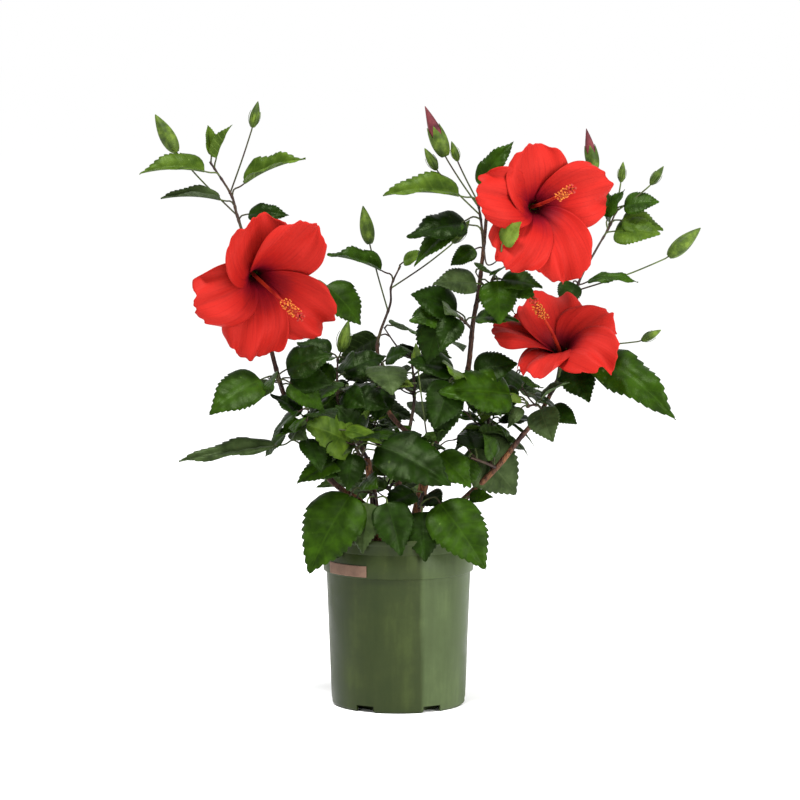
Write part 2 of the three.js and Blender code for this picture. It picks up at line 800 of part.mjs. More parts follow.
function labelSolid() {
  const radius = rimRadius - 1.1 + gap;
  const spread = radToDeg(label.width / radius);
  const geometry = new THREE.BoxGeometry(1, 1, 1, 10, 1, 1);
  return solid(bent(geometry, (x, y, z) => {
    const around = degToRad(label.turn + x * spread);
    const height = label.bottom + (y + 0.5) * label.height;
    const out = radius + (height - label.bottom) * 0.018 + (0.5 + z) * label.thick;
    return new THREE.Vector3(out * Math.cos(around), out * Math.sin(around), height);
  }));
}

function mesh(name, shape, look) {
  const { vertProperties, triVerts } = shape.getMesh();
  const geometry = new THREE.BufferGeometry();
  geometry.setAttribute('position', new THREE.BufferAttribute(vertProperties, 3));
  geometry.setIndex(new THREE.BufferAttribute(triVerts, 1));
  geometry.computeVertexNormals();
  const made = new THREE.Mesh(geometry, new THREE.MeshStandardMaterial({ metalness: 0, ...look }));
  made.name = name;
  return made;
}

const shrub = new THREE.Group();
const taken = [];

function add(name, shape, look) {
  taken.push(shape);
  shrub.add(mesh(name, shape, look));
}

add('pot', potSolid(), colours.pot);
add('soil', soilSolid(), colours.soil);
add('rim_label', labelSolid(), colours.label);
for (const [name, limb] of Object.entries(limbs)) {
  const whole = limbSolid(limb);
  const shape = limb.parent ? mainBody(whole.subtract(limbSolid(limbs[limb.parent], gap))) : whole;
  add(name, shape, colours.bark);
}
for (const [name, bloom] of Object.entries(blooms)) {
  add(name, bloomSolid(bloom), colours.bloom);
}
for (const [name, shoot] of Object.entries(shoots)) {
  const otherStems = Object.values(shoots).filter((other) => other !== shoot).map(stemSolid);
  add(name, shootSolid(shoot, [...taken, ...otherStems]), colours.leaf);
}

export default shrub;
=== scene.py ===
# A hibiscus in its nursery pot: the looks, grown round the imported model.
# Everything is in metres, +Z up and -Y to the front. The rows of the plant are in millimetres and
# degrees, as the part's source has them, and are turned to metres when a mesh is made.

import json
import math

import bmesh
import bpy
import numpy as np
from mathutils import Matrix, Vector
from mathutils.bvhtree import BVHTree

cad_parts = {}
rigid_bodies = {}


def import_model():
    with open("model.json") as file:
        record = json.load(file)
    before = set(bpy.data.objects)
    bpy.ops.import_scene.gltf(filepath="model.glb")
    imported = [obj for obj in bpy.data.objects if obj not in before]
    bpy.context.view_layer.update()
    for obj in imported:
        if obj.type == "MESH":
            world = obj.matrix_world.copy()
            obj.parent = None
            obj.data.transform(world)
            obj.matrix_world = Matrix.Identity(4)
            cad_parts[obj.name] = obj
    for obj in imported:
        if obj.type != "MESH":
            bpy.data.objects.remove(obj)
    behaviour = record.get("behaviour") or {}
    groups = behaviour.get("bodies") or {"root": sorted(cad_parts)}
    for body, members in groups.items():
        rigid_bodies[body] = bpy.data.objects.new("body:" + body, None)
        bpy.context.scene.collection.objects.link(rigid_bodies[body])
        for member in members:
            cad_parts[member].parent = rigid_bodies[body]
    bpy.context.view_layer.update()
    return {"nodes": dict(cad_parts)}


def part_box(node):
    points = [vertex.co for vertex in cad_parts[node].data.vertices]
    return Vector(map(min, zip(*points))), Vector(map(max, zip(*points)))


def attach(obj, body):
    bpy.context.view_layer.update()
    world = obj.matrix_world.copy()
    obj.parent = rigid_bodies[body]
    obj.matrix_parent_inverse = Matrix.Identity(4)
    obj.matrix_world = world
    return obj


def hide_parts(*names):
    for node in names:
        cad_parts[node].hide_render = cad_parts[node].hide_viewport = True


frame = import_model()
mm = 0.001
body = "root"
print("frame loaded,", len(frame["nodes"]), "nodes")

# Camera: a long lens at chest height, a little above the blooms.
view = {"place": (0.0015, -3.5, 0.655), "pitch": 5.815, "lens": 162.2, "sensor": 36.0}
camera = bpy.data.objects.new("camera", bpy.data.cameras.new("camera"))
bpy.context.scene.collection.objects.link(camera)
camera.location = view["place"]
camera.rotation_euler = (math.radians(90 - view["pitch"]), 0, 0)
camera.data.lens = view["lens"]
camera.data.sensor_width = view["sensor"]
camera.data.clip_end = 100
bpy.context.scene.camera = camera


# Small tools.


def linear(hexColour):
    # sRGB hex to the linear colour that a shader wants
    shares = [int(hexColour[i:i + 2], 16) / 255 for i in (1, 3, 5)]
    return [c / 12.92 if c <= 0.04045 else ((c + 0.055) / 1.055) ** 2.4 for c in shares] + [1]


def feed(tree, node, socket, value):
    # a value or another node's socket goes into a socket; a node stands for its first output
    if isinstance(value, bpy.types.Node):
        value = value.outputs[0]
    if isinstance(value, bpy.types.NodeSocket):
        tree.links.new(value, node.inputs[socket])
    else:
        node.inputs[socket].default_value = value


def addNode(tree, kind, inputs=None, **settings):
    node = tree.nodes.new(kind)
    for setting, value in settings.items():
        setattr(node, setting, value)
    for socket, value in (inputs or {}).items():
        feed(tree, node, socket, value)
    return node


def addMath(tree, operation, *values):
    return addNode(tree, "ShaderNodeMath", dict(enumerate(values)), operation=operation)


def addNoise(tree, space, scale, detail, grain=0.5):
    return addNode(tree, "ShaderNodeTexNoise", {
        "Vector": space, "Scale": scale, "Detail": detail, "Roughness": grain,
    })


def addRange(tree, value, low, high, toLow, toHigh):
    return addNode(tree, "ShaderNodeMapRange", {
        "Value": value, "From Min": low, "From Max": high, "To Min": toLow, "To Max": toHigh,
    })


def addBump(tree, shader, height, strength, distance):
    feed(tree, shader, "Normal", addNode(tree, "ShaderNodeBump", {
        "Height": height, "Strength": strength, "Distance": distance,
    }))


def stretched(tree, space, scale):
    return addNode(tree, "ShaderNodeMapping", {"Vector": space, "Scale": scale})


def blended(tree, share, first, second, **settings):
    return addNode(tree, "ShaderNodeMix", {
        0: share, 6: first, 7: second,
    }, data_type="RGBA", **settings).outputs[2]


def uvOf(tree):
    # a mesh's own place on its blade or petal, and its across and along
    uv = addNode(tree, "ShaderNodeUVMap", uv_map="UVMap")
    axes = addNode(tree, "ShaderNodeSeparateXYZ", {0: uv})
    return uv, axes.outputs[0], axes.outputs[1]


def startMaterial(name, colour, **sockets):
    # a Principled shader with its plain values, and the space for its pattern
    material = bpy.data.materials.new(name)
    material.use_nodes = True
    tree = material.node_tree
    tree.nodes.clear()
    shader = addNode(tree, "ShaderNodeBsdfPrincipled", {"Base Color": linear(colour)})
    for socket, value in sockets.items():
        feed(tree, shader, socket.replace("_", " "), value)
    addNode(tree, "ShaderNodeOutputMaterial", {"Surface": shader})
    return material, tree, shader, addNode(tree, "ShaderNodeTexCoord").outputs["Object"]


def rampOf(tree, source, stops):
    # a colour ramp from (place, hex) stops
    ramp = addNode(tree, "ShaderNodeValToRGB", {0: source})
    while len(ramp.color_ramp.elements) < len(stops):
        ramp.color_ramp.elements.new(0.5)
    for element, (place, colour) in zip(ramp.color_ramp.elements, stops):
        element.position = place
        element.color = linear(colour)
    return ramp.outputs[0]


def mottled(name, colour, scale, detail, stops, grain=0.5, bump=None, **sockets):
    # a skin whose colour wanders between its stops; bump is a strength and a distance
    material, tree, shader, spot = startMaterial(name, colour, **sockets)
    noise = addNoise(tree, spot, scale, detail, grain)
    feed(tree, shader, "Base Color", rampOf(tree, noise, stops))
    if bump:
        addBump(tree, shader, noise, *bump)
    return material


def linked(name, data):
    made = bpy.data.objects.new(name, data)
    bpy.context.scene.collection.objects.link(made)
    return made


def setField(mesh, name, kind, domain, values):
    # an attribute of the mesh, one value for each point or face
    data = mesh.attributes.new(name, kind, domain).data
    kinds = {"FLOAT_VECTOR": np.float32, "INT": np.int32, "BOOLEAN": bool}
    data.foreach_set("vector" if kind == "FLOAT_VECTOR" else "value",
                     np.asarray(values, dtype=kinds[kind]).ravel())


def meshObject(name, points, faces, uvs=None, material=None):
    # points in mm; uvs is one pair for each point
    mesh = bpy.data.meshes.new(name)
    mesh.from_pydata((np.asarray(points) * mm).tolist(), [], faces)
    if uvs is not None:
        corners = np.zeros(len(mesh.loops), dtype=np.int32)
        mesh.loops.foreach_get("vertex_index", corners)
        layer = mesh.uv_layers.new(name="UVMap")
        layer.data.foreach_set("uv", np.asarray(uvs, dtype=np.float32)[corners].ravel())
    if material:
        mesh.materials.append(material)
    mesh.shade_smooth()
    mesh.update()
    return linked(name, mesh)


def newBatch():
    return {"points": [], "faces": [], "uvs": [], "count": 0}


def addTo(batch, points, faces, uvs=None):
    # another small shape goes into the joined mesh
    points = np.asarray(points, dtype=float).reshape(-1, 3)
    batch["points"].append(points)
    batch["faces"].extend([[c + batch["count"] for c in face] for face in faces])
    batch["uvs"].append(np.zeros((len(points), 2)) if uvs is None else np.asarray(uvs))
    batch["count"] += len(points)


def batchObject(name, batch, material):
    return meshObject(name, np.concatenate(batch["points"]), batch["faces"],
                      np.concatenate(batch["uvs"]), material)


def baked(holder, name):
    # the evaluated result of a holder's modifiers, as a plain mesh; the holder goes
    bpy.context.view_layer.update()
    graph = bpy.context.evaluated_depsgraph_get()
    mesh = bpy.data.meshes.new_from_object(holder.evaluated_get(graph), depsgraph=graph)
    mesh.name = name
    made = linked(name, mesh)
    holder.modifiers.clear()
    bpy.data.objects.remove(holder)
    return made


def runTree(holder, tree, values):
    # hangs a node tree on a holder, sets its named inputs by identifier, and bakes the result
    modifier = holder.modifiers.new(tree.name, "NODES")
    modifier.node_group = tree
    for item in tree.interface.items_tree:
        if item.item_type == "SOCKET" and item.in_out == "INPUT" and item.name in values:
            modifier[item.identifier] = values[item.name]
    return baked(holder, holder.name.replace("Holder", ""))


def startTree(name, sockets):
    # a geometry node tree with named inputs: (name, socket kind, default)
    tree = bpy.data.node_groups.new(name, "GeometryNodeTree")
    tree.interface.new_socket("Geometry", in_out="INPUT", socket_type="NodeSocketGeometry")
    for label, kind, default in sockets:
        socket = tree.interface.new_socket(label, in_out="INPUT", socket_type="NodeSocket" + kind)
        if default is not None:
            socket.default_value = default
    tree.interface.new_socket("Geometry", in_out="OUTPUT", socket_type="NodeSocketGeometry")
    return tree, addNode(tree, "NodeGroupInput").outputs


def attributeOf(tree, name, kind):
    return addNode(tree, "GeometryNodeInputNamedAttribute", {"Name": name}, data_type=kind)


def randomSize(tree, low, high, seed):
    return addNode(tree, "FunctionNodeRandomValue", {
        0: low, 1: high, "Seed": seed,
    }, data_type="FLOAT_VECTOR")


def dressed(tree, geometry, material, chosen=True):
    return addNode(tree, "GeometryNodeSetMaterial", {
        "Geometry": geometry, "Selection": chosen, "Material": material,
    })


def endTree(tree, geometry):
    addNode(tree, "NodeGroupOutput", {0: geometry})
    return tree


def keepPiece(piece, slotName, *nodes):
    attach(piece, body)
    if nodes:
        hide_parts(*nodes)
    print("  ", piece.name, sum(len(p.vertices) - 2 for p in piece.data.polygons), "triangles")


# The plant's rule, as in the part's source.

groundLevel = 152
sink = 4  # the stems go on a little way into the soil

limbs = {
    "stem_left": {
        "route": [[-20, -8, 152.3], [-24, -14, 202], [-31, -18, 244]],
        "radii": [4.8, 3.4], "flare": 2.2,
    },
    "stem_right": {
        "route": [[11, 8, 152.3], [21, 8, 199], [31, 4, 237], [36, 1, 256]],
        "radii": [5.6, 4.2], "flare": 2.6,
    },
    "bough_right": {
        "route": [[26, 18, 152.3], [41, 16, 177], [60, 13, 195], [95, 8, 230], [119, 2, 261],
                  [138, -4, 286], [155, -2, 318]],
        "radii": [3.6, 2], "flare": 1.4,
    },
    "stem_back": {
        "route": [[-4, 28, 152.3], [-3, 38, 190], [4, 52, 232], [10, 60, 258]],
        "radii": [4, 2.6], "flare": 1.6,
    },
    "bough_left": {
        "route": [[-24, -13, 190], [-40, -18, 203], [-66, -30, 224], [-88, -38, 260],
                  [-104, -40, 291], [-116, -38, 325], [-130, -26, 380], [-149, -5, 455]],
        "radii": [3, 1.7], "flare": 0,
    },
    "bough_centre": {
        "route": [[31, 3, 243], [22, 6, 254], [9, 10, 265], [-9, 18, 284], [-18, 22, 311],
                  [-21, 22, 351]],
        "radii": [2.8, 1.8], "flare": 0,
    },
    "bough_up": {
        "route": [[36, 1, 254], [44, -6, 281], [56, -12, 303], [67, -18, 328], [72, -24, 375],
                  [77, -26, 404], [81, -28, 439], [85, -30, 481]],
        "radii": [3.2, 1.6], "flare": 0,
    },
}

# A leaf is [how far along the stem, turn, rise, blade length, roll, habit, tone, width share]; a
# bud is [how far along, turn, rise, stalk length, bud length, ripe]. fine is the number of finer
# twigs that a shoot gets on top of the rule's own.
shoots = {
    "foliage_left_top": {
        "route": [[-149, -5, 455], [-157, 0, 480], [-163, 0, 500], [-183, 0, 531]],
        "radii": [1.6, 0.9], "seed": 11, "fine": 0,
        "leaves": [
            [0.76, -175, -1, 64, 30, "cupped", "bright", 1],
            [0.4, -175, 1, 58, 30, "cupped", "grey", 0.42],
            [0.52, -10, 22, 66, -30, "cupped", "bright", 0.8],
            [0.9, -35, 60, 38, 0, "folded", "bright", 1],
            [1, 120, 75, 30, 0, "folded", "bright", 1],
            [0.24, -15, 0, 42, -55, "easy", "deep", 0.8],
        ],
        "buds": [[0.57, 10, 70, 64, 26, 0], [0.3, 175, 44, 82, 42, 0]],
    },
    "foliage_left": {
        "route": [[-112, -39, 313], [-116, -54, 324]],
        "radii": [1.5, 1], "seed": 12, "fine": 1,
        "leaves": [
            [1, -160, -30, 62, 45, "easy", "mid", 1.15],
            [0.8, -165, -40, 24, 50, "easy", "grey", 1.2],
            [0.9, -5, 20, 48, -55, "easy", "deep", 1.2],
            [0.7, -5, -10, 42, -55, "easy", "deep", 1.25],
            [0.8, -20, -38, 44, -42, "easy", "mid", 1.1],
            [0.3, -20, -20, 36, -45, "easy", "deep", 1.2],
        ],
    },
    "foliage_left_low": {
        "route": [[-88, -38, 259], [-93, -53, 262], [-88, -60, 286]],
        "radii": [1.6, 1], "seed": 13, "fine": 2,
        "leaves": [
            [0.3, -175, -9, 94, 35, "level", "grey", 0.42],
            [0.8, -150, -20, 26, 10, "easy", "mid", 1],
            [1, -150, -30, 24, 40, "easy", "mid", 1.2],
            [1, -60, 0, 46, -10, "easy", "deep", 1.2],
            [0.9, 170, 30, 36, 30, "easy", "deep", 1],
            [0.5, -60, -50, 40, 0, "hanging", "deep", 1.1],
        ],
    },
    "foliage_inner": {
        "route": [[-31, -18, 244], [-49, -18, 276], [-59, -15, 300], [-59, -12, 342]],
        "radii": [2.2, 0.9], "seed": 14, "fine": 3,
        "leaves": [
            [0.16, 165, 45, 56, 50, "easy", "mid", 1.1],
            [0.14, -35, 60, 38, -20, "folded", "bright", 1],
            [0.66, 150, 30, 40, 40, "easy", "mid", 1.1],
            [0.6, -25, -12, 45, -42, "easy", "deep", 1.2],
            [0.08, -130, 45, 50, 100, "easy", "deep", 1.25],
            [0.3, -155, 0, 46, 50, "easy", "deep", 1.3],
            [0.76, 20, 20, 46, -40, "easy", "deep", 1.1],
            [0.45, 60, 20, 48, 0, "easy", "deep", 1.2],
            [0.7, -110, -20, 44, 0, "hanging", "mid", 1.1],
            [1, 165, 12, 36, 40, "easy", "deep", 1.2],
        ],
        "buds": [[1, 0, 68, 8, 32, 0]],
    },
    "foliage_front": {
        "route": [[-30, -17, 236], [-36, -34, 246], [-44, -44, 262]],
        "radii": [2, 1.1], "seed": 15, "fine": 4,
        "leaves": [
            [0.8, -20, -24, 84, -45, "easy", "deep", 1.1],
            [0.42, -148, 24, 64, 72, "easy", "bright", 1.15],
            [0.5, -155, -25, 58, 35, "easy", "mid", 0.85],
            [0.6, -150, -35, 38, 50, "easy", "deep", 1.2],
            [0.7, -115, -65, 38, 25, "hanging", "deep", 1.2],
            [0.9, -60, 5, 40, -10, "easy", "deep", 1.1],
        ],
    },
    "foliage_skirt_left": {
        "route": [[-23, -13, 194], [-24, -38, 211], [-21, -58, 209]],
        "radii": [1.8, 1.1], "seed": 16, "fine": 1,
        "leaves": [
            [0.7, -158, -60, 87, 42, "hanging", "mid", 1.15],
            [0.6, -160, -72, 62, 60, "hanging", "deep", 1.1],
            [0.9, -128, -78, 50, 10, "hanging", "grey", 1.15],
            [1, -45, -70, 54, -30, "hanging", "deep", 1.2],
        ],
    },
    "foliage_skirt_right": {
        "route": [[20, 8, 196], [24, -20, 210], [20, -46, 198]],
        "radii": [1.8, 1.1], "seed": 17, "fine": 0,
        "leaves": [
            [0.9, -31, -52, 80, -40, "hanging", "mid", 1.12],
            [1, -80, -70, 50, -10, "hanging", "deep", 1.25],
            [0.6, -145, -20, 38, 35, "easy", "deep", 1.2],
            [0.2, -62, -12, 34, -35, "easy", "deep", 1.3],
        ],
    },
    "foliage_centre_front": {
        "route": [[31, 4, 236], [30, -16, 246], [24, -34, 254]],
        "radii": [1.8, 1], "seed": 18, "fine": 2,
        "leaves": [
            [0.8, -30, -40, 48, -40, "easy", "mid", 1.2],
            [0.9, -60, 25, 36, 0, "easy", "mid", 1.1],
        ],
        "buds": [[0.3, 180, 82, 84, 26, 0]],
    },
    "foliage_centre_mid": {
        "route": [[-17, 21, 304], [-18, 4, 318], [-16, -14, 336]],
        "radii": [1.6, 0.9], "seed": 19, "fine": 0,
        "leaves": [
            [0.45, -45, -8, 38, -60, "cupped", "young", 1],
            [1, -80, -35, 44, 0, "easy", "grey", 1.5],
            [0.3, -95, -45, 42, 5, "easy", "deep", 1.3],
            [0.9, -35, 20, 30, -55, "easy", "deep", 1.1],
            [0.1, -150, -70, 58, 30, "hanging", "mid", 0.62],
            [0.52, -140, -50, 44, 0, "easy", "deep", 1.2],
        ],
    },
    "foliage_centre_top": {
        "route": [[-21, 22, 351], [-17, 22, 366], [-8, 20, 391], [-7, 18, 409], [2, 15, 429]],
        "radii": [1.6, 0.8], "seed": 20, "fine": 0,
        "leaves": [
            [0.8, -170, 15, 56, 30, "cupped", "mid", 1],
            [1, -20, 22, 25, -50, "easy", "bright", 1.1],
        ],
        "buds": [[0.42, 175, 74, 65, 38, 0], [0.7, -10, 34, 74, 28, 0]],
    },
    "foliage_up_top": {
        "route": [[82, -28, 448], [80, -38, 470], [76, -40, 496]],
        "radii": [1.5, 0.9], "seed": 21, "fine": 0,
        "leaves": [
            [0.9, -175, 0, 74, 30, "cupped", "bright", 1],
            [0.36, -168, -13, 62, 45, "arched", "deep", 0.9],
            [0.62, -175, -41, 64, 38, "easy", "mid", 0.72],
            [0, -175, -34, 29, 50, "easy", "mid", 1.2],
            [1, 0, 53, 54, -64, "easy", "mid", 0.7],
        ],
        "buds": [[0.85, 178, 55, 56, 52, 1], [0.7, 175, 44, 58, 24, 0],
                 [0.95, 172, 62, 42, 20, 0]],
    },
    "foliage_up_mid": {
        "route": [[75, -25, 394], [84, -38, 406], [92, -40, 422]],
        "radii": [1.5, 0.9], "seed": 22, "fine": 1,
        "leaves": [
            [0.6, -165, 2, 45, 45, "easy", "grey", 1.2],
            [0.9, -60, 14, 34, -20, "easy", "deep", 1.2],
            [1, -75, -70, 44, -15, "hanging", "mid", 1.35],
            [0.9, -20, -30, 38, -50, "easy", "mid", 1.2],
            [0.8, -25, -10, 44, -40, "easy", "mid", 1],
        ],
    },
    "foliage_up_left": {
        "route": [[71, -23, 370], [64, -38, 378], [54, -46, 388]],
        "radii": [1.5, 0.9], "seed": 23, "fine": 1,
        "leaves": [
            [0.5, -165, 20, 50, 55, "easy", "deep", 1.3],
            [0.7, -165, -10, 42, 50, "easy", "mid", 1.2],
            [1, -162, -70, 50, 45, "hanging", "deep", 1.25],
            [0.5, -20, -5, 44, -30, "easy", "mid", 1],
            [0.7, -122, -50, 42, 30, "hanging", "deep", 1],
        ],
    },
    "foliage_right_mid": {
        "route": [[140, -4, 290], [134, -22, 296], [124, -34, 296]],
        "radii": [1.5, 1], "seed": 25, "fine": 1,
        "leaves": [
            [1, -158, 2, 76, 50, "easy", "mid", 1.1],
            [0.05, -25, -28, 32, -45, "easy", "deep", 1.2],
            [0.95, -160, 5, 28, 45, "cupped", "young", 0.9],
            [1, -145, -50, 26, 40, "arched", "grey", 0.8],
            [0.6, -70, -46, 42, -34, "easy", "grey", 1.25],
            [0.6, -15, 30, 32, -20, "folded", "grey", 1],
            [0.9, 165, 0, 44, 40, "easy", "deep", 1.1],
        ],
    },
    "foliage_up_low": {
        "route": [[62, -15, 315], [64, -34, 322], [58, -46, 322]],
        "radii": [1.5, 0.9], "seed": 24, "fine": 1,
        "leaves": [
            [0.4, -5, 10, 44, -55, "easy", "deep", 1.35],
            [1, -132, -62, 50, 55, "hanging", "deep", 1.25],
            [0.8, -150, -80, 56, 45, "hanging", "deep", 1.05],
            [0.6, -10, -58, 44, -60, "hanging", "mid", 0.75],
            [0.7, -165, 10, 48, 45, "easy", "deep", 1.1],
        ],
    },
    "foliage_right_low": {
        "route": [[96, 8, 231], [84, -8, 238], [70, -18, 244]],
        "radii": [1.6, 1.1], "seed": 26, "fine": 1,
        "leaves": [
            [0.1, -125, 55, 32, 100, "easy", "mid", 1.1],
            [0.8, 100, 20, 44, 0, "easy", "deep", 1.1],
        ],
    },
    "foliage_right_top": {
        "route": [[155, -2, 318], [164, 15, 361], [176, 30, 409], [194, 30, 444],
                  [206, 30, 465], [215, 30, 486]],
        "radii": [1.9, 0.8], "seed": 27, "fine": 0,
        "leaves": [
            [0.08, -50, -50, 46, -30, "hanging", "deep", 1.3],
            [0.12, -30, -31, 114, -44, "arched", "mid", 0.62],
            [0.82, -20, -4, 47, -45, "easy", "bright", 1.3],
            [0.9, -5, -14, 42, -45, "easy", "bright", 1.2],
            [0.86, -20, 60, 36, -40, "easy", "mid", 1.1],
            [1, -15, 5, 36, -50, "easy", "mid", 1.2],
            [0.88, 145, 60, 38, 20, "easy", "mid", 1],
            [0.5, -10, 0, 52, -30, "arched", "mid", 0.5],
            [0.54, -130, -50, 30, 40, "hanging", "deep", 1.3],
            [0.3, 60, 5, 52, 0, "easy", "mid", 1],
            [0.66, 130, 15, 44, 0, "easy", "deep", 1],
        ],
        "buds": [[0.9, 176, 72, 52, 42, 1], [1, 10, 80, 28, 20, 0], [1, -10, 36, 42, 22, 0],
                 [0.5, -5, 18, 95, 42, 0], [0.2, -10, 1, 76, 22, 0]],
    },
    "foliage_back": {
        "route": [[10, 60, 258], [16, 74, 296], [12, 86, 340]],
        "radii": [2, 0.9], "seed": 31, "twigs": 4, "extra": 6, "reach": 85, "fine": 2,
    },
    "foliage_back_low": {
        "route": [[-4, 34, 184], [-4, 50, 198], [-14, 62, 206]],
        "radii": [1.8, 1], "seed": 34, "fine": 3,
        "leaves": [
            [0.7, 170, -5, 62, -30, "easy", "mid", 1.1],
            [0.8, 25, -5, 60, 30, "easy", "deep", 1.1],
            [1, 125, -35, 60, 0, "hanging", "mid", 1.1],
            [0.9, 60, -30, 64, 0, "hanging", "bright", 1.1],
            [0.5, -160, 10, 46, -30, "easy", "mid", 1.1],
            [0.6, -15, 15, 44, 30, "easy", "deep", 1.1],
            [1, 95, 20, 44, 0, "easy", "bright", 1.1],
        ],
    },
    "foliage_back_left": {
        "route": [[2, 50, 228], [-30, 70, 258], [-54, 84, 300]],
        "radii": [2, 0.9], "seed": 32, "twigs": 3, "extra": 6, "reach": 80, "fine": 8,
    },
    "foliage_back_right": {
        "route": [[92, 9, 227], [88, 40, 256], [92, 66, 300]],
        "radii": [2, 0.9], "seed": 33, "twigs": 3, "extra": 6, "reach": 80, "fine": 5,
    },
}

blade = {"stalk": 0.28, "stalkRadius": 0.75, "width": 0.66, "thickness": 0.006}
habits = {  # fold, arch and lift in degrees
    "easy": (18, 34, 15),
    "arched": (14, 58, 10),
    "hanging": (16, 30, 45),
    "folded": (42, 26, 5),
    "cupped": (44, 30, 10),
    "level": (22, 10, 4),
}
proud = 4  # how far a tip may leave the box of its mass
goldenTurn = 137.5
lastNode = 0.97  # no leaf leaves a stem past this share of it
# Twigs start past a share of the shoot, turned from its first one. span is their shortest and
# longest; places and rises are where their leaves stand and how steeply. The source's own twigs
# stay when they are bare. The finer ones go past what its solids carry.
twigForms = {
    "own": {"past": 0.2, "turned": 0, "span": (26, 44), "radii": [1.1, 0.7],
            "places": (0.4, 1.1), "size": 44, "rises": (-40, 25), "bare": True},
    "fine": {"past": 0.3, "turned": 60, "span": (12, 26), "radii": [0.9, 0.6],
             "places": (0.45, 1.1), "size": 36, "rises": (-55, 8), "bare": False},
}
extraLeaves = {"places": (0.25, 1), "size": 50, "rises": (-40, 25)}
# a leaf of the rule leans its face out of the crown, by so many degrees, and is broader
ruleLeaf = {
    "leansOut": 42, "wide": 1.15,
    "tones": ["mid", "deep", "bright", "mid", "deep", "mid", "grey"],
}


def seeded(seed):
    state = [seed]

    def draw():
        state[0] = (state[0] * 1664525 + 1013904223) % 4294967296
        return state[0] / 4294967296
    return draw


def lerp(low, high, share):
    return low + (high - low) * share


def heading(turn, rise):
    t, r = math.radians(turn), math.radians(rise)
    return np.array([math.cos(r) * math.cos(t), math.cos(r) * math.sin(t), math.sin(r)])


def unit(vector):
    return vector / np.linalg.norm(vector)


def smoothRoute(route, count=200):
    # a Catmull-Rom curve through the route, spaced evenly along its length
    knots = np.asarray(route, dtype=float)
    knots = np.vstack([2 * knots[0] - knots[1], knots, 2 * knots[-1] - knots[-2]])
    spots = []
    for step in range(count + 1):
        place = step / count * (len(knots) - 3)
        i = min(int(place), len(knots) - 4)
        w = place - i
        p0, p1, p2, p3 = knots[i:i + 4]
        t0, t1 = (p2 - p0) / 2, (p3 - p1) / 2
        spots.append(p1 + t0 * w + (3 * (p2 - p1) - 2 * t0 - t1) * w ** 2
                     + (2 * (p1 - p2) + t0 + t1) * w ** 3)
    spots = np.array(spots)
    walked = np.concatenate([[0], np.cumsum(np.linalg.norm(np.diff(spots, axis=0), axis=1))])
    even = np.linspace(0, walked[-1], count + 1)
    return np.stack([np.interp(even, walked, spots[:, k]) for k in range(3)], axis=1)


def routeLength(spots):
    return float(np.linalg.norm(np.diff(spots, axis=0), axis=1).sum())


def pointAt(spots, along):
    place = min(max(along, 0), 1) * (len(spots) - 1)
    i = min(int(place), len(spots) - 2)
    return lerp(spots[i], spots[i + 1], place - i)


def bladeFoot(node, row):
    # where the blade starts, at the end of a stalk that leaves the node a little more steeply
    _, turn, rise, length, _, habit = row[:6]
    _, arch, lift = habits[habit]
    return node + heading(turn, rise + arch / 2 + lift) * blade["stalk"] * length


def leafRow(node, row, plant):
    # where a leaf's stalk runs and how its blade lies
    _, turn, rise, length, roll, habit, tone, wide = row
    _, arch, lift = habits[habit]
    ahead = heading(turn, rise)
    flatUp = heading(turn, rise + 90)
    side = np.cross(flatUp, ahead)
    lean = math.radians(roll)
    up = flatUp * math.cos(lean) + side * math.sin(lean)
    foot = bladeFoot(node, row)
    start = ahead * math.cos(math.radians(arch / 2)) + up * math.sin(math.radians(arch / 2))
    leave = heading(turn, min(rise + arch / 2 + lift + 30, 88))
    reach = blade["stalk"] * length
    plant["stalks"].append({
        "knots": [node, node + leave * reach * 0.4, foot - start * reach * 0.35,
                  foot + start * length * 0.02],
        "radii": [blade["stalkRadius"] * 1.25, blade["stalkRadius"]],
    })
    plant["leaves"].append({
        "foot": foot, "ahead": ahead, "up": up, "length": length, "habit": habit, "tone": tone,
        "wide": wide,
    })


def leafHits(node, row, trees):
    # a coarse blade, tested against what is already there
    _, turn, rise, length = row[:4]
    ahead = heading(turn, rise)
    side = np.cross(heading(turn, rise + 90), ahead)
    foot = bladeFoot(node, row)
    half = blade["width"] * length / 2
    rim = [foot, foot + ahead * length * 0.35 + side * half, foot + ahead * length,
           foot + ahead * length * 0.35 - side * half]
    tree = BVHTree.FromPolygons([Vector(p * mm) for p in rim], [(0, 1, 2), (0, 2, 3)])
    return any(tree.overlap(other) for other in trees)


def ruleLeaves(draw, count, form):
    turn = draw() * 360
    rows = []
    for i in range(count):
        along = lerp(*form["places"], (i + 0.5) / count)
        rise = lerp(*form["rises"], draw())
        length = form["size"] * lerp(0.8, 1.15, draw())
        rows.append([along, turn + goldenTurn * i, rise, length, lerp(-15, 15, draw()), "easy"])
    return rows


def ruleTwig(draw, spots, along, turn, span):
    start = pointAt(spots, along)
    way = heading(turn, lerp(5, 45, draw()))
    length = lerp(*span, draw())
    end = start + way * length + np.array([0, 0, length * 0.2])
    return smoothRoute([start, start + way * length * 0.5, end], 24)


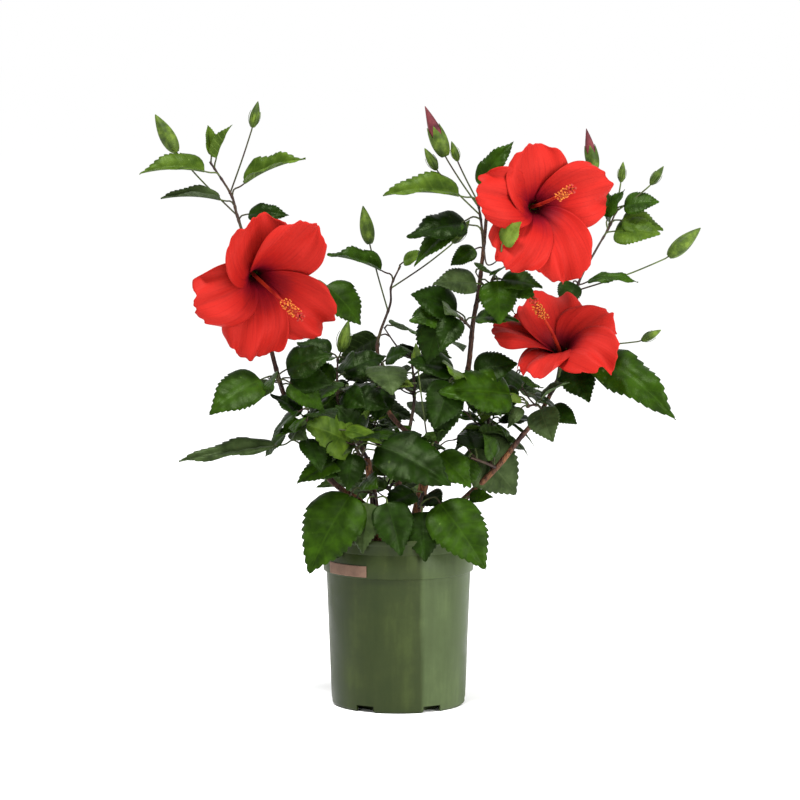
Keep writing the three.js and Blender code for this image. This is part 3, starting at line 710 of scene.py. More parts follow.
def growShoot(name, shoot, plant, trees):
    draw = seeded(shoot["seed"])
    spots = smoothRoute(shoot["route"], 80)
    middle = pointAt(spots, 0.5)
    low, high = [np.array(corner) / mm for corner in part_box(name)]
    low, high = low - proud, high + proud
    nodes = []

    def place(stem, row, reach=None, checked=True):
        node = pointAt(stem, min(row[0], lastNode))
        tip = node + heading(row[1], row[2]) * row[3] * (1 + blade["stalk"])
        if reach is not None and np.linalg.norm(tip - middle) > reach:
            return
        if checked and (leafHits(node, row, trees) or (tip < low).any() or (tip > high).any()):
            return
        if len(row) < 8:
            tones = ruleLeaf["tones"]
            outward = unit(np.array([node[0], node[1] - 15, 0]))
            roll = row[4] + ruleLeaf["leansOut"] * heading(row[1] + 90, 0).dot(outward)
            row = row[:4] + [roll, row[5], tones[len(plant["leaves"]) % len(tones)],
                             ruleLeaf["wide"]]
        if stem is spots:
            nodes.append(min(row[0], lastNode))
        leafRow(node, row, plant)

    def sprout(form, count):
        # the shoot's twigs of one form, each with three leaves
        for i in range(count):
            along = lerp(form["past"], 1, (i + 0.5) / count)
            turn = firstTurn + form["turned"] + goldenTurn * i
            twig = ruleTwig(draw, spots, along, turn, form["span"])
            before = len(plant["leaves"])
            for row in ruleLeaves(draw, 3, form):
                place(twig, row, shoot.get("reach"))
            if form["bare"] or len(plant["leaves"]) > before:
                plant["twigs"].append({"spots": twig, "radii": form["radii"]})

    for row in shoot.get("leaves", []):
        place(spots, row, checked=False)
    for row in shoot.get("buds", []):
        nodes.append(min(row[0], lastNode))
        plant["buds"].append((pointAt(spots, min(row[0], lastNode)), row))
    firstTurn = draw() * 360
    sprout(twigForms["own"], shoot.get("twigs", 0))
    for row in ruleLeaves(draw, shoot.get("extra", 0), extraLeaves):
        place(spots, row, shoot.get("reach"))
    sprout(twigForms["fine"], shoot["fine"])
    plant["stems"].append({"spots": spots, "radii": shoot["radii"], "nodes": nodes})


def nodeTree(node):
    # a CAD node's faces, for testing what a new leaf would run into
    mesh = frame["nodes"][node].data
    return BVHTree.FromPolygons([v.co for v in mesh.vertices],
                                [tuple(p.vertices) for p in mesh.polygons])


plant = {"leaves": [], "stalks": [], "twigs": [], "stems": [], "buds": []}
obstacles = [nodeTree(n) for n in frame["nodes"] if not n.startswith("foliage")]
for shootName, shoot in shoots.items():
    growShoot(shootName, shoot, plant, obstacles)
# lone twigs with one leaf each: in front of the upper bloom, behind the left one, and behind and
# before the right bough
loneTwigs = [
    ([[82, -31, 455], [84, -66, 436], [92, -100, 440], [97, -108, 450]],
     [0, -20, 48, 28, -68, "easy", "young", 1.35]),
    ([[-136, -6, 385], [-112, 6, 400], [-84, 2, 414]], [0, -12, -46, 52, -50, "easy", "mid", 1.2]),
    ([[37, 2, 250], [46, 14, 256], [54, 20, 257]], [0, 8, -50, 68, -66, "easy", "grey", 1.5]),
    ([[59, 13, 195], [62, 6, 198], [64, 0, 200]], [0, -15, 0, 24, -50, "easy", "mid", 1.1]),
]
for route, row in loneTwigs:
    twig = smoothRoute(route, 24)
    plant["twigs"].append({"spots": twig, "radii": twigForms["fine"]["radii"]})
    leafRow(twig[-1], row, plant)
print("grown:", len(plant["leaves"]), "leaves,", len(plant["twigs"]), "twigs")


# Bark: limbs, shoot stems, twigs and stalks follow their routes.

def barkTree():
    tree, given = startTree("followRoute", [
        ("Sides", "Int", 12),
        ("Ring Spacing", "Float", 0.0015),
        ("Relief", "Float", 0.0003),
        ("Grain", "Float", 300.0),
        ("Lenticels", "Float", 0.0),
        ("Lenticel Size", "Float", 0.0005),
        ("Seed", "Int", 5),
        ("Bark", "Material", None),
    ])
    rings = addNode(tree, "GeometryNodeResampleCurve", {
        "Curve": given["Geometry"], "Length": given["Ring Spacing"],
    }, mode="LENGTH")
    ring = addNode(tree, "GeometryNodeCurvePrimitiveCircle", {
        "Resolution": given["Sides"], "Radius": 1.0,
    })
    tube = addNode(tree, "GeometryNodeCurveToMesh", {
        "Curve": rings, "Profile Curve": ring, "Scale": attributeOf(tree, "radius", "FLOAT"),
        "Fill Caps": True,
    })
    # bark runs lengthwise, so its noise is drawn out along the height
    drawn = addNode(tree, "ShaderNodeVectorMath", {
        0: addNode(tree, "GeometryNodeInputPosition"), 1: (1.0, 1.0, 0.3),
    }, operation="MULTIPLY")
    noise = addNoise(tree, drawn, given["Grain"], 3.0, 0.65)
    height = addMath(tree, "MULTIPLY", addMath(tree, "SUBTRACT", noise, 0.5), given["Relief"])
    push = addNode(tree, "ShaderNodeVectorMath", {
        0: addNode(tree, "GeometryNodeInputNormal"), "Scale": height,
    }, operation="SCALE")
    rough = addNode(tree, "GeometryNodeSetPosition", {"Geometry": tube, "Offset": push})
    # lenticels: small raised pores, wider than tall, scattered over the bark
    pores = addNode(tree, "GeometryNodeDistributePointsOnFaces", {
        "Mesh": rough, "Density": given["Lenticels"], "Seed": given["Seed"],
    })
    grain = addNode(tree, "GeometryNodeMeshIcoSphere", {
        "Radius": given["Lenticel Size"], "Subdivisions": 2,
    })
    dots = addNode(tree, "GeometryNodeInstanceOnPoints", {
        "Points": pores, "Instance": grain, "Rotation": pores.outputs["Rotation"],
        "Scale": randomSize(tree, (0.5, 0.5, 0.25), (1.1, 0.9, 0.5), given["Seed"]),
    })
    both = addNode(tree, "GeometryNodeJoinGeometry")
    feed(tree, both, 0, rough)
    feed(tree, both, 0, dots)
    smooth = addNode(tree, "GeometryNodeSetShadeSmooth", {"Geometry": both})
    real = addNode(tree, "GeometryNodeRealizeInstances", {"Geometry": smooth})
    return endTree(tree, dressed(tree, real, given["Bark"]))


def routeHolder(name, routes):
    # each route is (spots in mm, radii in mm at the spots)
    data = bpy.data.curves.new(name, "CURVE")
    data.dimensions = "3D"
    for spots, radii in routes:
        spline = data.splines.new("POLY")
        spline.points.add(len(spots) - 1)
        flat = np.column_stack([np.asarray(spots) * mm, np.ones(len(spots))])
        spline.points.foreach_set("co", flat.ravel())
        spline.points.foreach_set("radius", np.asarray(radii, dtype=float) * mm)
    return linked(name, data)


def taper(spots, radii):
    return lerp(radii[0], radii[1], np.linspace(0, 1, len(spots)))


followRoute = barkTree()

# Woody bark: young hibiscus wood is smooth with fine lengthwise cracks, purple brown where it is
# young and tan where the skin has split, and dull.
barkLook = {"young": "#33201d", "old": "#553a2c", "split": "#7e5232", "roughness": 0.72}
bark, tree, shader, spot = startMaterial(
    "young hibiscus bark", barkLook["old"], Roughness=barkLook["roughness"],
    Specular_IOR_Level=0.2)
lengthwise = stretched(tree, spot, (1.0, 1.0, 0.25))
# cracks about 1.2 mm apart, patches of split skin about 30 mm long
cracks = addNoise(tree, lengthwise, 800.0, 5.0, 0.6)
patches = addNoise(tree, lengthwise, 45.0, 3.0)
height = addNode(tree, "ShaderNodeSeparateXYZ", {0: spot}).outputs[2]
aged = addMath(tree, "ADD", patches, addRange(tree, height, 0.17, 0.36, 0.1, -0.1))
barkColour = rampOf(tree, aged, [
    (0.36, barkLook["young"]), (0.52, barkLook["old"]), (0.68, barkLook["split"]),
])
crackColour = rampOf(tree, cracks, [(0.36, "#5a4640"), (0.6, "#ffffff")])
feed(tree, shader, "Base Color",
     blended(tree, 1.0, barkColour, crackColour, blend_type="MULTIPLY"))
addBump(tree, shader, cracks, 0.5, 0.0004)

# Green stem skin: soft wood and stalks, green with a purple flush, waxy.
greenStem = mottled("green stem skin", "#384022", 28.0, 2.0, [
    (0.38, "#2e201d"), (0.52, "#384022"), (0.7, "#505e30"),
], Roughness=0.5, Specular_IOR_Level=0.15)

# Shoot wood: last season's growth, brown with some green left in it.
shootBark = mottled("shoot bark", "#36271f", 60.0, 4.0, [
    (0.36, "#221614"), (0.54, "#36271f"), (0.72, "#3e3922"),
], Roughness=0.62, Specular_IOR_Level=0.2)

# where a limb widens, in mm: at its foot, at the rings of its old leaf scars, and at a node
barkForm = {
    "flareRun": 9, "first": 24, "apart": 31, "scar": 0.35, "scarRun": 1.8, "node": 0.45,
    "nodeRun": 1.6,
}
limbRoutes = []
for limb in limbs.values():
    spots = smoothRoute(limb["route"])
    walked = np.linspace(0, 1, len(spots)) * routeLength(spots)
    radii = taper(spots, limb["radii"]) + limb["flare"] * np.exp(-walked / barkForm["flareRun"])
    for joint in np.arange(barkForm["first"], walked[-1], barkForm["apart"]):
        radii = radii + barkForm["scar"] * np.exp(-((walked - joint) / barkForm["scarRun"]) ** 2)
    if limb["flare"]:
        spots = np.vstack([spots[0] - [0, 0, sink], spots])
        radii = np.concatenate([radii[:1] * 1.05, radii])
    limbRoutes.append((spots, radii))
keepPiece(runTree(routeHolder("limbsHolder", limbRoutes), followRoute, {
    "Sides": 20, "Ring Spacing": 0.0014, "Relief": 0.0007, "Grain": 420.0,
    "Lenticels": 9000.0, "Lenticel Size": 0.00055, "Seed": 7, "Bark": bark,
}), "bark", *limbs)

stemRoutes = []
for stem in plant["stems"]:
    share = np.linspace(0, 1, len(stem["spots"]))
    radii = taper(stem["spots"], stem["radii"])
    length = routeLength(stem["spots"])
    for along in stem["nodes"]:
        away = (share - along) * length / barkForm["nodeRun"]
        radii = radii + barkForm["node"] * np.exp(-away ** 2)
    stemRoutes.append((stem["spots"], radii))
stemRoutes += [(twig["spots"], taper(twig["spots"], twig["radii"])) for twig in plant["twigs"]]
keepPiece(runTree(routeHolder("shootStemsHolder", stemRoutes), followRoute, {
    "Sides": 10, "Ring Spacing": 0.0016, "Relief": 0.0003, "Grain": 500.0,
    "Lenticels": 3000.0, "Lenticel Size": 0.00035, "Seed": 8, "Bark": shootBark,
}), "foliage", *shoots)


# Leaves: eighteen blades, three of each habit, dealt out along the shoots.

leafForm = {
    "teeth": 9,          # coarse teeth on each side
    "toothDepth": 0.042,
    "veins": 6.2,        # side veins on each side
    "veinLean": 0.2,
    "quilt": 0.017,      # how far the blade puffs up between its veins
    "wave": 0.026,
    "twists": [0, 9, -11],  # degrees along the blade, one for each variant
}


def shellFaces(rows, columns):
    # two layers of a grid, joined round their rim
    count = rows * columns
    faces = []
    for i in range(rows - 1):
        for j in range(columns - 1):
            a = i * columns + j
            faces.append([a, a + columns, a + columns + 1, a + 1])
            faces.append([count + a, count + a + 1, count + a + columns + 1, count + a + columns])
    loop = list(range(columns))
    loop += [i * columns + columns - 1 for i in range(1, rows)]
    loop += [(rows - 1) * columns + j for j in range(columns - 2, -1, -1)]
    loop += [i * columns for i in range(rows - 2, 0, -1)]
    for a, b in zip(loop, loop[1:] + loop[:1]):
        faces.append([a, b, count + b, count + a])
    return faces


def leafStations():
    # where the blade is cut across, and how its edge stands out there
    stations = [(0, 1), (0.015, 1), (0.05, 1), (0.1, 1), (0.16, 1), (0.22, 1.01), (0.28, 1)]
    step = 0.68 / leafForm["teeth"]
    for k in range(leafForm["teeth"]):
        start = 0.31 + step * k
        for share, out in ((0.33, 0.4), (0.66, 1), (0.96, -1)):
            stations.append((start + step * share, 1 + out * leafForm["toothDepth"]))
    return stations + [(1, 1)]


def leafWidth(u):
    # an ovate blade: a round base, broadest a third of the way, and a drawn-out tip
    body = np.power(u, 0.4) * np.power(1 - u, 0.88) / 0.458
    return body * (1 - 0.42 * np.clip((u - 0.6) / 0.4, 0, 1) ** 1.2)


def leafShape(habit, variant):
    fold, arch, _ = habits[habit]
    swing = math.radians(arch)
    u, edge = [np.array(column)[:, None] for column in zip(*leafStations())]
    v = np.array([-1, -0.84, -0.62, -0.4, -0.18, 0, 0.18, 0.4, 0.62, 0.84, 1])[None, :]
    rim = np.clip((np.abs(v) - 0.5) / 0.5, 0, 1)
    half = 0.5 * blade["width"] * np.maximum(leafWidth(u), 0.012) * (1 + (edge - 1) * rim ** 2)
    lean = math.radians(fold)
    across = v * half * math.cos(lean)
    vein = (u - leafForm["veinLean"] * np.abs(v) * (1 - 0.25 * np.abs(v))) * leafForm["veins"]
    puff = np.abs(np.sin(np.pi * vein)) ** 1.1 * np.minimum(1, 6 * u) * np.minimum(1, 5 * (1 - u))
    inside = np.minimum(1, np.abs(v) * 3.2) * (1 - np.abs(v) ** 3)
    waves = np.sin(2 * np.pi * (1.7 + 0.35 * variant) * u + 1.9 * variant + (v > 0) * 1.4)
    rise = np.abs(v) * half * math.sin(lean) - 0.25 * half * v ** 2
    rise = rise + leafForm["quilt"] * puff * inside
    rise = rise + leafForm["wave"] * waves * rim * np.minimum(1, 4 * u) * (0.6 + 0.3 * variant)
    twist = math.radians(leafForm["twists"][variant]) * (u - 0.3)
    across, rise = (across * np.cos(twist) - rise * np.sin(twist),
                    across * np.sin(twist) + rise * np.cos(twist))
    angle = swing * (0.5 - u)
    ahead = (math.sin(swing / 2) - np.sin(angle)) / swing
    up = (np.cos(angle) - math.cos(swing / 2)) / swing
    drift = 0.03 * (variant - 1) * u ** 2  # the blade sweeps a little to one side
    top = np.stack([
        across + drift,
        ahead - np.sin(angle) * rise + 0.018 * (edge > 1) * rim ** 2,
        up + np.cos(angle) * rise,
    ], axis=-1)
    thick = blade["thickness"] * (1 - 0.5 * rim) + 0.014 * (v == 0) * (1 - u) ** 0.7 + 0 * u
    down = np.stack([0 * thick, np.sin(angle) * thick, -np.cos(angle) * thick], axis=-1)
    uvs = np.stack([0.5 + 0.5 * v + 0 * u, u + 0 * v], axis=-1)
    count = u.size * v.size
    # the grid's first layer is the upper side, so its faces turn over
    faces = [f[:1] + f[:0:-1] if max(f) < count else f[::-1] for f in shellFaces(u.size, v.size)]
    return (np.concatenate([top, top + down]).reshape(-1, 3), faces,
            np.concatenate([uvs, uvs]).reshape(-1, 2), [max(f) >= count for f in faces])


def shapeCollection(name, shapes):
    collection = bpy.data.collections.new(name)
    for i, (points, faces, uvs, under) in enumerate(shapes):
        made = meshObject(f"{name}{i:02d}", np.asarray(points) / mm, faces, uvs)
        bpy.context.scene.collection.objects.unlink(made)
        collection.objects.link(made)
        setField(made.data, "under", "BOOLEAN", "FACE", under)
    return collection


def sprayTree():
    # deals a collection's shapes out on points that carry their turn, size and shape number
    tree, given = startTree("dealSpray", [
        ("Shapes", "Collection", None),
        ("Upper", "Material", None),
        ("Under", "Material", None),
    ])
    shapes = addNode(tree, "GeometryNodeCollectionInfo", {
        "Collection": given["Shapes"], "Separate Children": True, "Reset Children": True,
    })
    spin = addNode(tree, "FunctionNodeEulerToRotation", {
        0: attributeOf(tree, "turned", "FLOAT_VECTOR"),
    })
    dealt = addNode(tree, "GeometryNodeInstanceOnPoints", {
        "Points": given["Geometry"], "Instance": shapes, "Pick Instance": True,
        "Instance Index": attributeOf(tree, "shape", "INT"), "Rotation": spin,
        "Scale": attributeOf(tree, "size", "FLOAT_VECTOR"),
    })
    real = addNode(tree, "GeometryNodeRealizeInstances", {"Geometry": dealt})
    upper = dressed(tree, real, given["Upper"])
    return endTree(tree, dressed(tree, upper, given["Under"],
                                 attributeOf(tree, "under", "BOOLEAN")))


def pointHolder(name, rows):
    # rows of {foot, x, y, z axes, size, shape}: one point each, in mm
    holder = meshObject(name, [r["foot"] for r in rows], [])
    turned = [list(Matrix(np.transpose(r["axes"]).tolist()).to_euler()) for r in rows]
    sizes = np.array([[r["size"] * r.get("wide", 1), r["size"], r["size"]] for r in rows]) * mm
    setField(holder.data, "turned", "FLOAT_VECTOR", "POINT", turned)
    setField(holder.data, "size", "FLOAT_VECTOR", "POINT", sizes)
    setField(holder.data, "shape", "INT", "POINT", [r["shape"] for r in rows])
    return holder


def leafMaterial(name, colours, roughness, veinShare, bumpDepth):
    # Hibiscus leaf: a waxy skin, glossy above, with a pale midrib and sunk side veins.
    material, tree, shader, spot = startMaterial(
        name, colours["blade"], Roughness=roughness, Specular_IOR_Level=0.1,
        Specular_Tint=(0.6, 0.8, 0.4, 1.0))
    _, across, along = uvOf(tree)
    away = addMath(tree, "ABSOLUTE", addMath(tree, "MULTIPLY_ADD", across, 2.0, -1.0))
    # side veins: the same slant and spacing as the puffs of the blade
    lean = leafForm["veinLean"]
    back = addMath(tree, "MULTIPLY", away, addMath(tree, "MULTIPLY_ADD", away, 0.25 * lean, -lean))
    phase = addMath(tree, "MULTIPLY", addMath(tree, "ADD", back, along), leafForm["veins"])
    veinLine = addRange(tree, addMath(tree, "PINGPONG", phase, 0.5), 0.02, 0.11, 1.0, 0.0)
    midrib = addRange(tree, away, 0.015, 0.05, 0.4, 0.0)
    allVeins = addMath(tree, "MAXIMUM", addMath(tree, "MULTIPLY", veinLine, veinShare), midrib)
    # mottling about 12 mm across, and a net of small veins about 1.5 mm across
    bladeColour = rampOf(tree, addNoise(tree, spot, 80.0, 3.0), [
        (0.34, colours["shade"]), (0.5, colours["blade"]), (0.68, colours["light"]),
    ])
    feed(tree, shader, "Base Color",
         blended(tree, allVeins, bladeColour, linear(colours["vein"])))
    net = addNode(tree, "ShaderNodeTexVoronoi", {
        "Vector": spot, "Scale": 650.0,
    }, feature="DISTANCE_TO_EDGE")
    fine = addMath(tree, "MINIMUM", net, 0.35)
    addBump(tree, shader, addMath(tree, "MULTIPLY_ADD", allVeins, -0.4, fine), 0.42, bumpDepth)
    return material


# The tones are partly the leaves' own greens and partly painted light: deep darkens leaves inside the
# crown as painted shade, bright lightens leaves that catch the light as a painted highlight, and grey
# is a painted sheen on the leaves that show one.
leafTonesAndPaintedLight = {
    "deep": {"blade": "#0f1e03", "shade": "#0a1602", "light": "#162905", "vein": "#1b2f08"},
    "mid": {"blade": "#1c3004", "shade": "#142503", "light": "#253d06", "vein": "#2b430b"},
    "bright": {"blade": "#354811", "shade": "#27390b", "light": "#455a17", "vein": "#4c601f"},
    "grey": {"blade": "#29351a", "shade": "#1f2914", "light": "#354224", "vein": "#3c492a"},
    "young": {"blade": "#4e6020", "shade": "#3d4f17", "light": "#5f722c", "vein": "#677934"},
}
# the paler undersides follow the same tones, so they carry the same painted shade, highlight and sheen
underTonesAndPaintedLight = {
    "deep": {"blade": "#202e10", "shade": "#19260c", "light": "#293816", "vein": "#344420"},
    "mid": {"blade": "#293c13", "shade": "#21320f", "light": "#334818", "vein": "#405424"},
    "bright": {"blade": "#3b4f19", "shade": "#304214", "light": "#485d20", "vein": "#55692c"},
    "grey": {"blade": "#334026", "shade": "#2a361f", "light": "#3e4c30", "vein": "#4a583a"},
    "young": {"blade": "#526426", "shade": "#44561e", "light": "#62752f", "vein": "#6f813c"},
}

variants = len(leafForm["twists"])
leafShapes = shapeCollection("leafShape", [
    leafShape(habit, variant) for habit in habits for variant in range(variants)
])
dealSpray = sprayTree()
for tone, colours in leafTonesAndPaintedLight.items():
    rows = [{
        "foot": leaf["foot"], "size": leaf["length"], "wide": leaf["wide"],
        "axes": [np.cross(leaf["ahead"], leaf["up"]), leaf["ahead"], leaf["up"]],
        "shape": list(habits).index(leaf["habit"]) * variants + i % variants,
    } for i, leaf in enumerate(plant["leaves"]) if leaf["tone"] == tone]
    upper = leafMaterial(f"{tone} leaf skin", colours, 0.34, 0.18, 0.0005)
    under = leafMaterial(f"{tone} leaf underside", underTonesAndPaintedLight[tone], 0.62, 0.8, 0.0006)
    keepPiece(runTree(pointHolder(f"{tone}LeavesHolder", rows), dealSpray, {
        "Shapes": leafShapes, "Upper": upper, "Under": under,
    }), "foliage", *shoots)


# Buds: a ribbed calyx in a ring of narrow bracts, on a long stalk.

budForm = {
    "radius": 0.182, "rings": 18, "sides": 20, "bracts": 7,
    "calyxShare": 0.5,  # how far up a ripe bud its calyx comes
    "long": 34,         # a bud longer than this has shorter bracts for its size
}


def latheFaces(rings, sides, closed=True):
    faces = []
    for i in range(rings - 1):
        for j in range(sides):
            k = (j + 1) % sides
            faces.append([i * sides + j, i * sides + k, (i + 1) * sides + k, (i + 1) * sides + j])
    if closed:
        faces.append(list(range(sides - 1, -1, -1)))
        faces.append([(rings - 1) * sides + j for j in range(sides)])
    return faces


def acrossAxes(way):
    # two directions square to a given one
    ref = np.array([0, 0, 1.0]) if abs(way[2]) < 0.9 else np.array([1.0, 0, 0])
    right = unit(np.cross(ref, way))
    return right, np.cross(way, right)


def polar(radius, around, height):
    # points from a radius, an angle and a height, each a number or a grid
    return np.stack(np.broadcast_arrays(radius * np.cos(around), radius * np.sin(around), height),
                    axis=-1)


def inFrame(points, foot, right, over, up):
    return foot + right * points[..., 0:1] + over * points[..., 1:2] + up * points[..., 2:3]


def addBract(batch, foot, outward, way, length, width, spread):
    # one narrow green blade that leaves the foot and bends up along the bud
    side = np.cross(way, outward)
    steps = 7
    points = []
    for i in range(steps):
        t = i / (steps - 1)
        lean = math.radians(lerp(spread, spread * 0.25, t))
        along = foot + way * length * t * math.cos(lean) + outward * length * t * math.sin(lean)
        half = width * (1 - t) ** 0.6 * 0.5 + 0.05
        for sx, so in ((-1, 0), (0, -0.35), (1, 0), (0, 0.5)):
            points.append(along + side * half * sx + outward * width * 0.35 * so)
    addTo(batch, points, latheFaces(steps, 4))


def addBud(green, red, stalks, node, row):
    _, turn, rise, stalk, length, ripe = row
    way = heading(turn, rise)
    mid = node + way * stalk * 0.55
    end = node + way * stalk + np.array([0, 0, stalk * 0.05])
    up = unit(lerp(unit(end - mid), np.array([0, 0, 1.0]), 0.3))
    stalks.append({"knots": [node, mid, end - up * 1.5, end + up * 1.5], "radii": [0.85, 0.75]})
    right, over = acrossAxes(up)
    t = np.linspace(0, 1, budForm["rings"])[:, None]
    around = np.linspace(0, 2 * np.pi, budForm["sides"], endpoint=False)[None, :]

    def husk(t, share, slimmer, ribs, twist):
        # a spindle with five ribs, slimmer by a share towards its tip
        swell = length * budForm["radius"] * np.sin(np.pi * (0.1 + 0.89 * t ** 0.8)) ** 0.85
        swell = swell * share * (1 - slimmer * t) * (1 + ribs * np.cos(5 * around + twist * t))
        return inFrame(polar(swell, around, length * t), end, right, over, up)

    if ripe:
        addTo(red, husk(t, 0.86, 0.35, 0.07, 5.0), latheFaces(budForm["rings"], budForm["sides"]))
        cut = t * budForm["calyxShare"] * (1 + 0.22 * np.cos(5 * around))
        shell = np.concatenate([husk(cut, 1, 0.3, 0.04, 0), husk(cut, 0.9, 0.3, 0.04, 0)[::-1]])
    else:
        shell = husk(t, 1, 0, 0.06, 0)
    addTo(green, shell, latheFaces(len(shell), budForm["sides"]))
    long = length > budForm["long"]
    for i in range(budForm["bracts"]):
        angle = 2 * math.pi * (i + 0.3) / budForm["bracts"] + turn
        outward = right * math.cos(angle) + over * math.sin(angle)
        foot = end + outward * length * 0.05 + up * 0.5
        addBract(green, foot, outward, up, length * (0.4 if long else 0.62),
                 max(length * 0.06, 1.6), 34 if long else 50)


greenBatch, tipBatch = newBatch(), newBatch()
for node, row in plant["buds"]:
    addBud(greenBatch, tipBatch, plant["stalks"], node, row)


# Blooms: five broad petals, a long column with its brush of anthers, and a calyx behind.

blooms = {  # each petal is [turn, length, width, how far its rim bends back]
    "bloom_left": {
        "from": [-149, -5, 455], "throat": [-134, -60, 421], "faces": [0.39, -0.88, -0.27],
        "scale": 1.08, "lean": (17, -14),
        "petals": [[106, 1.02, 1.2, -8], [194, 1.0, 0.96, 0], [262, 1.02, 0.92, -4],
                   [328, 1.08, 0.98, -10], [64, 1.14, 1.04, -22]],
    },
    "bloom_upper_right": {
        "from": [85, -30, 481], "throat": [133, -68, 491], "faces": [0.39, -0.9, 0.1],
        "scale": 1.02, "lean": (4, 12),
        "petals": [[102, 0.87, 1.34, -8], [170, 1.14, 0.9, -6], [230, 1.08, 0.92, 0],
                   [286, 1.1, 1.0, 0], [14, 1.02, 1.02, 2]],
    },
    "bloom_lower_right": {
        "from": [147, -4, 302], "throat": [155, -40, 357], "faces": [-0.13, -0.58, 0.8],
        "scale": 0.95, "lean": (-18, -6),
        "petals": [[110, 0.95, 1.2, -6], [172, 1.0, 0.95, 4], [250, 0.88, 0.88, 6],
                   [322, 1.14, 1.0, 6], [28, 0.87, 1.05, 0]],
    },
}
petal = {
    "length": 80, "halfWidth": 34, "widest": 0.76, "shoulder": 1.18, "rimRound": 0.14,
    "throatAngle": 22, "rimAngle": 104, "throatRadius": 3, "overlap": 5, "ruffle": 4.6,
    "frill": 2.1, "billow": 3.2, "pleat": 0.6, "droop": 3, "crease": 2.8, "fold": 2.2,
    "thickness": 0.7, "along": 40, "across": 38,
}
column = {"length": 78, "radius": 1.6, "rings": 40, "sides": 12, "brushStart": 0.7,
          "brushEnd": 0.97, "stamens": 66, "filament": 5.2, "stigmas": 5, "stigma": 6.5,
          "stigmaLean": 38}
calyx = {"length": 24, "radius": 6.5, "below": 6, "cup": 15, "lobe": 9, "rings": 16, "sides": 30,
         "bracts": 7}


def bloomFrame(bloom):
    faces = unit(np.array(bloom["faces"], dtype=float))
    across = unit(np.cross([0, 0, 1.0], faces))
    foot = np.array(bloom["throat"], dtype=float) - faces * calyx["length"] * 0.7

    def place(points):
        return inFrame(np.asarray(points, dtype=float), foot, across, np.cross(faces, across), faces)
    return place, faces


def petalGrid(s, v, row, scale, phase):
    turn, longer, wider, bend = row
    start = math.radians(petal["throatAngle"])
    swing = math.radians(petal["rimAngle"] + bend) - start
    length = petal["length"] * scale * longer
    crimp = 0.012 * s ** 6 * np.sin(14 * v + 2 * phase) + 0.007 * s ** 6 * np.sin(27 * v + phase)
    angle = start + swing * s * (1 - petal["rimRound"] * (s * v) ** 2 + crimp)
    rising = np.sin(np.pi / 2 * np.minimum(s / petal["widest"], 1)) ** 0.9
    past = np.clip((s - petal["widest"]) / (petal["shoulder"] - petal["widest"]), 0, 1)
    half = np.maximum(3, petal["halfWidth"] * scale * wider * rising * np.sqrt(1 - past ** 2))
    radius = petal["throatRadius"] + length / swing * (math.cos(start) - np.cos(angle))
    height = length / swing * (np.sin(angle) - math.sin(start))
    around = math.radians(turn) + v * half / np.maximum(radius, 9)
    height = height + petal["overlap"] * scale * v * np.minimum(1, s * 2)
    height = height + petal["ruffle"] * scale * s * s * np.sin(4.4 * v + 6 * s + phase)
    height = height + petal["billow"] * scale * s ** 3 * np.sin(7.5 * v + 2.1 * phase)
    height = height - petal["droop"] * s * v * v
    height = height + petal["frill"] * s ** 4 * np.sin(11 * v + 3 * s + 1.7 * phase)
    height = height + petal["pleat"] * np.sin(21 * v + 2 * np.sin(3 * s + phase)) * s * (1 - 0.4 * s)
    # one deep crease runs up the middle, and a softer fold beside it
    height = height - petal["crease"] * scale * s * np.exp(-(v / 0.16) ** 2) * (1 - 0.9 * s * s)
    beside = np.exp(-((v - 0.5 * math.sin(phase + 1)) / 0.2) ** 2)
    height = height - petal["fold"] * scale * s ** 2 * beside
    return polar(radius, around, height)


def addPetal(batch, place, row, scale, phase):
    s = np.linspace(0, 1, petal["along"])[:, None] + np.zeros((1, petal["across"]))
    v = np.linspace(-1, 1, petal["across"])[None, :] + np.zeros((petal["along"], 1))
    middle = petalGrid(s, v, row, scale, phase)
    normal = np.cross(np.gradient(middle, axis=0), np.gradient(middle, axis=1))
    normal = normal / np.maximum(np.linalg.norm(normal, axis=-1, keepdims=True), 1e-9)
    half = petal["thickness"] * 0.5 * (1 - 0.5 * s ** 3)[..., None]
    uvs = np.stack([0.5 + 0.5 * v, s], axis=-1).reshape(-1, 2)
    addTo(batch, place(np.concatenate([middle + normal * half, middle - normal * half])),
          shellFaces(petal["along"], petal["across"]), np.concatenate([uvs, uvs]))


def onColumn(bloom, t):
    # the column bends a little towards its tip
    across, over = bloom["lean"]
    return np.stack([across * t ** 1.5, over * t ** 1.5, column["length"] * bloom["scale"] * t],
                    axis=-1)


def addStamen(rows, foot, ahead, size, shape):
    out = unit(ahead - foot)
    rows.append({"foot": foot, "axes": [*acrossAxes(out), out], "size": size, "shape": shape})


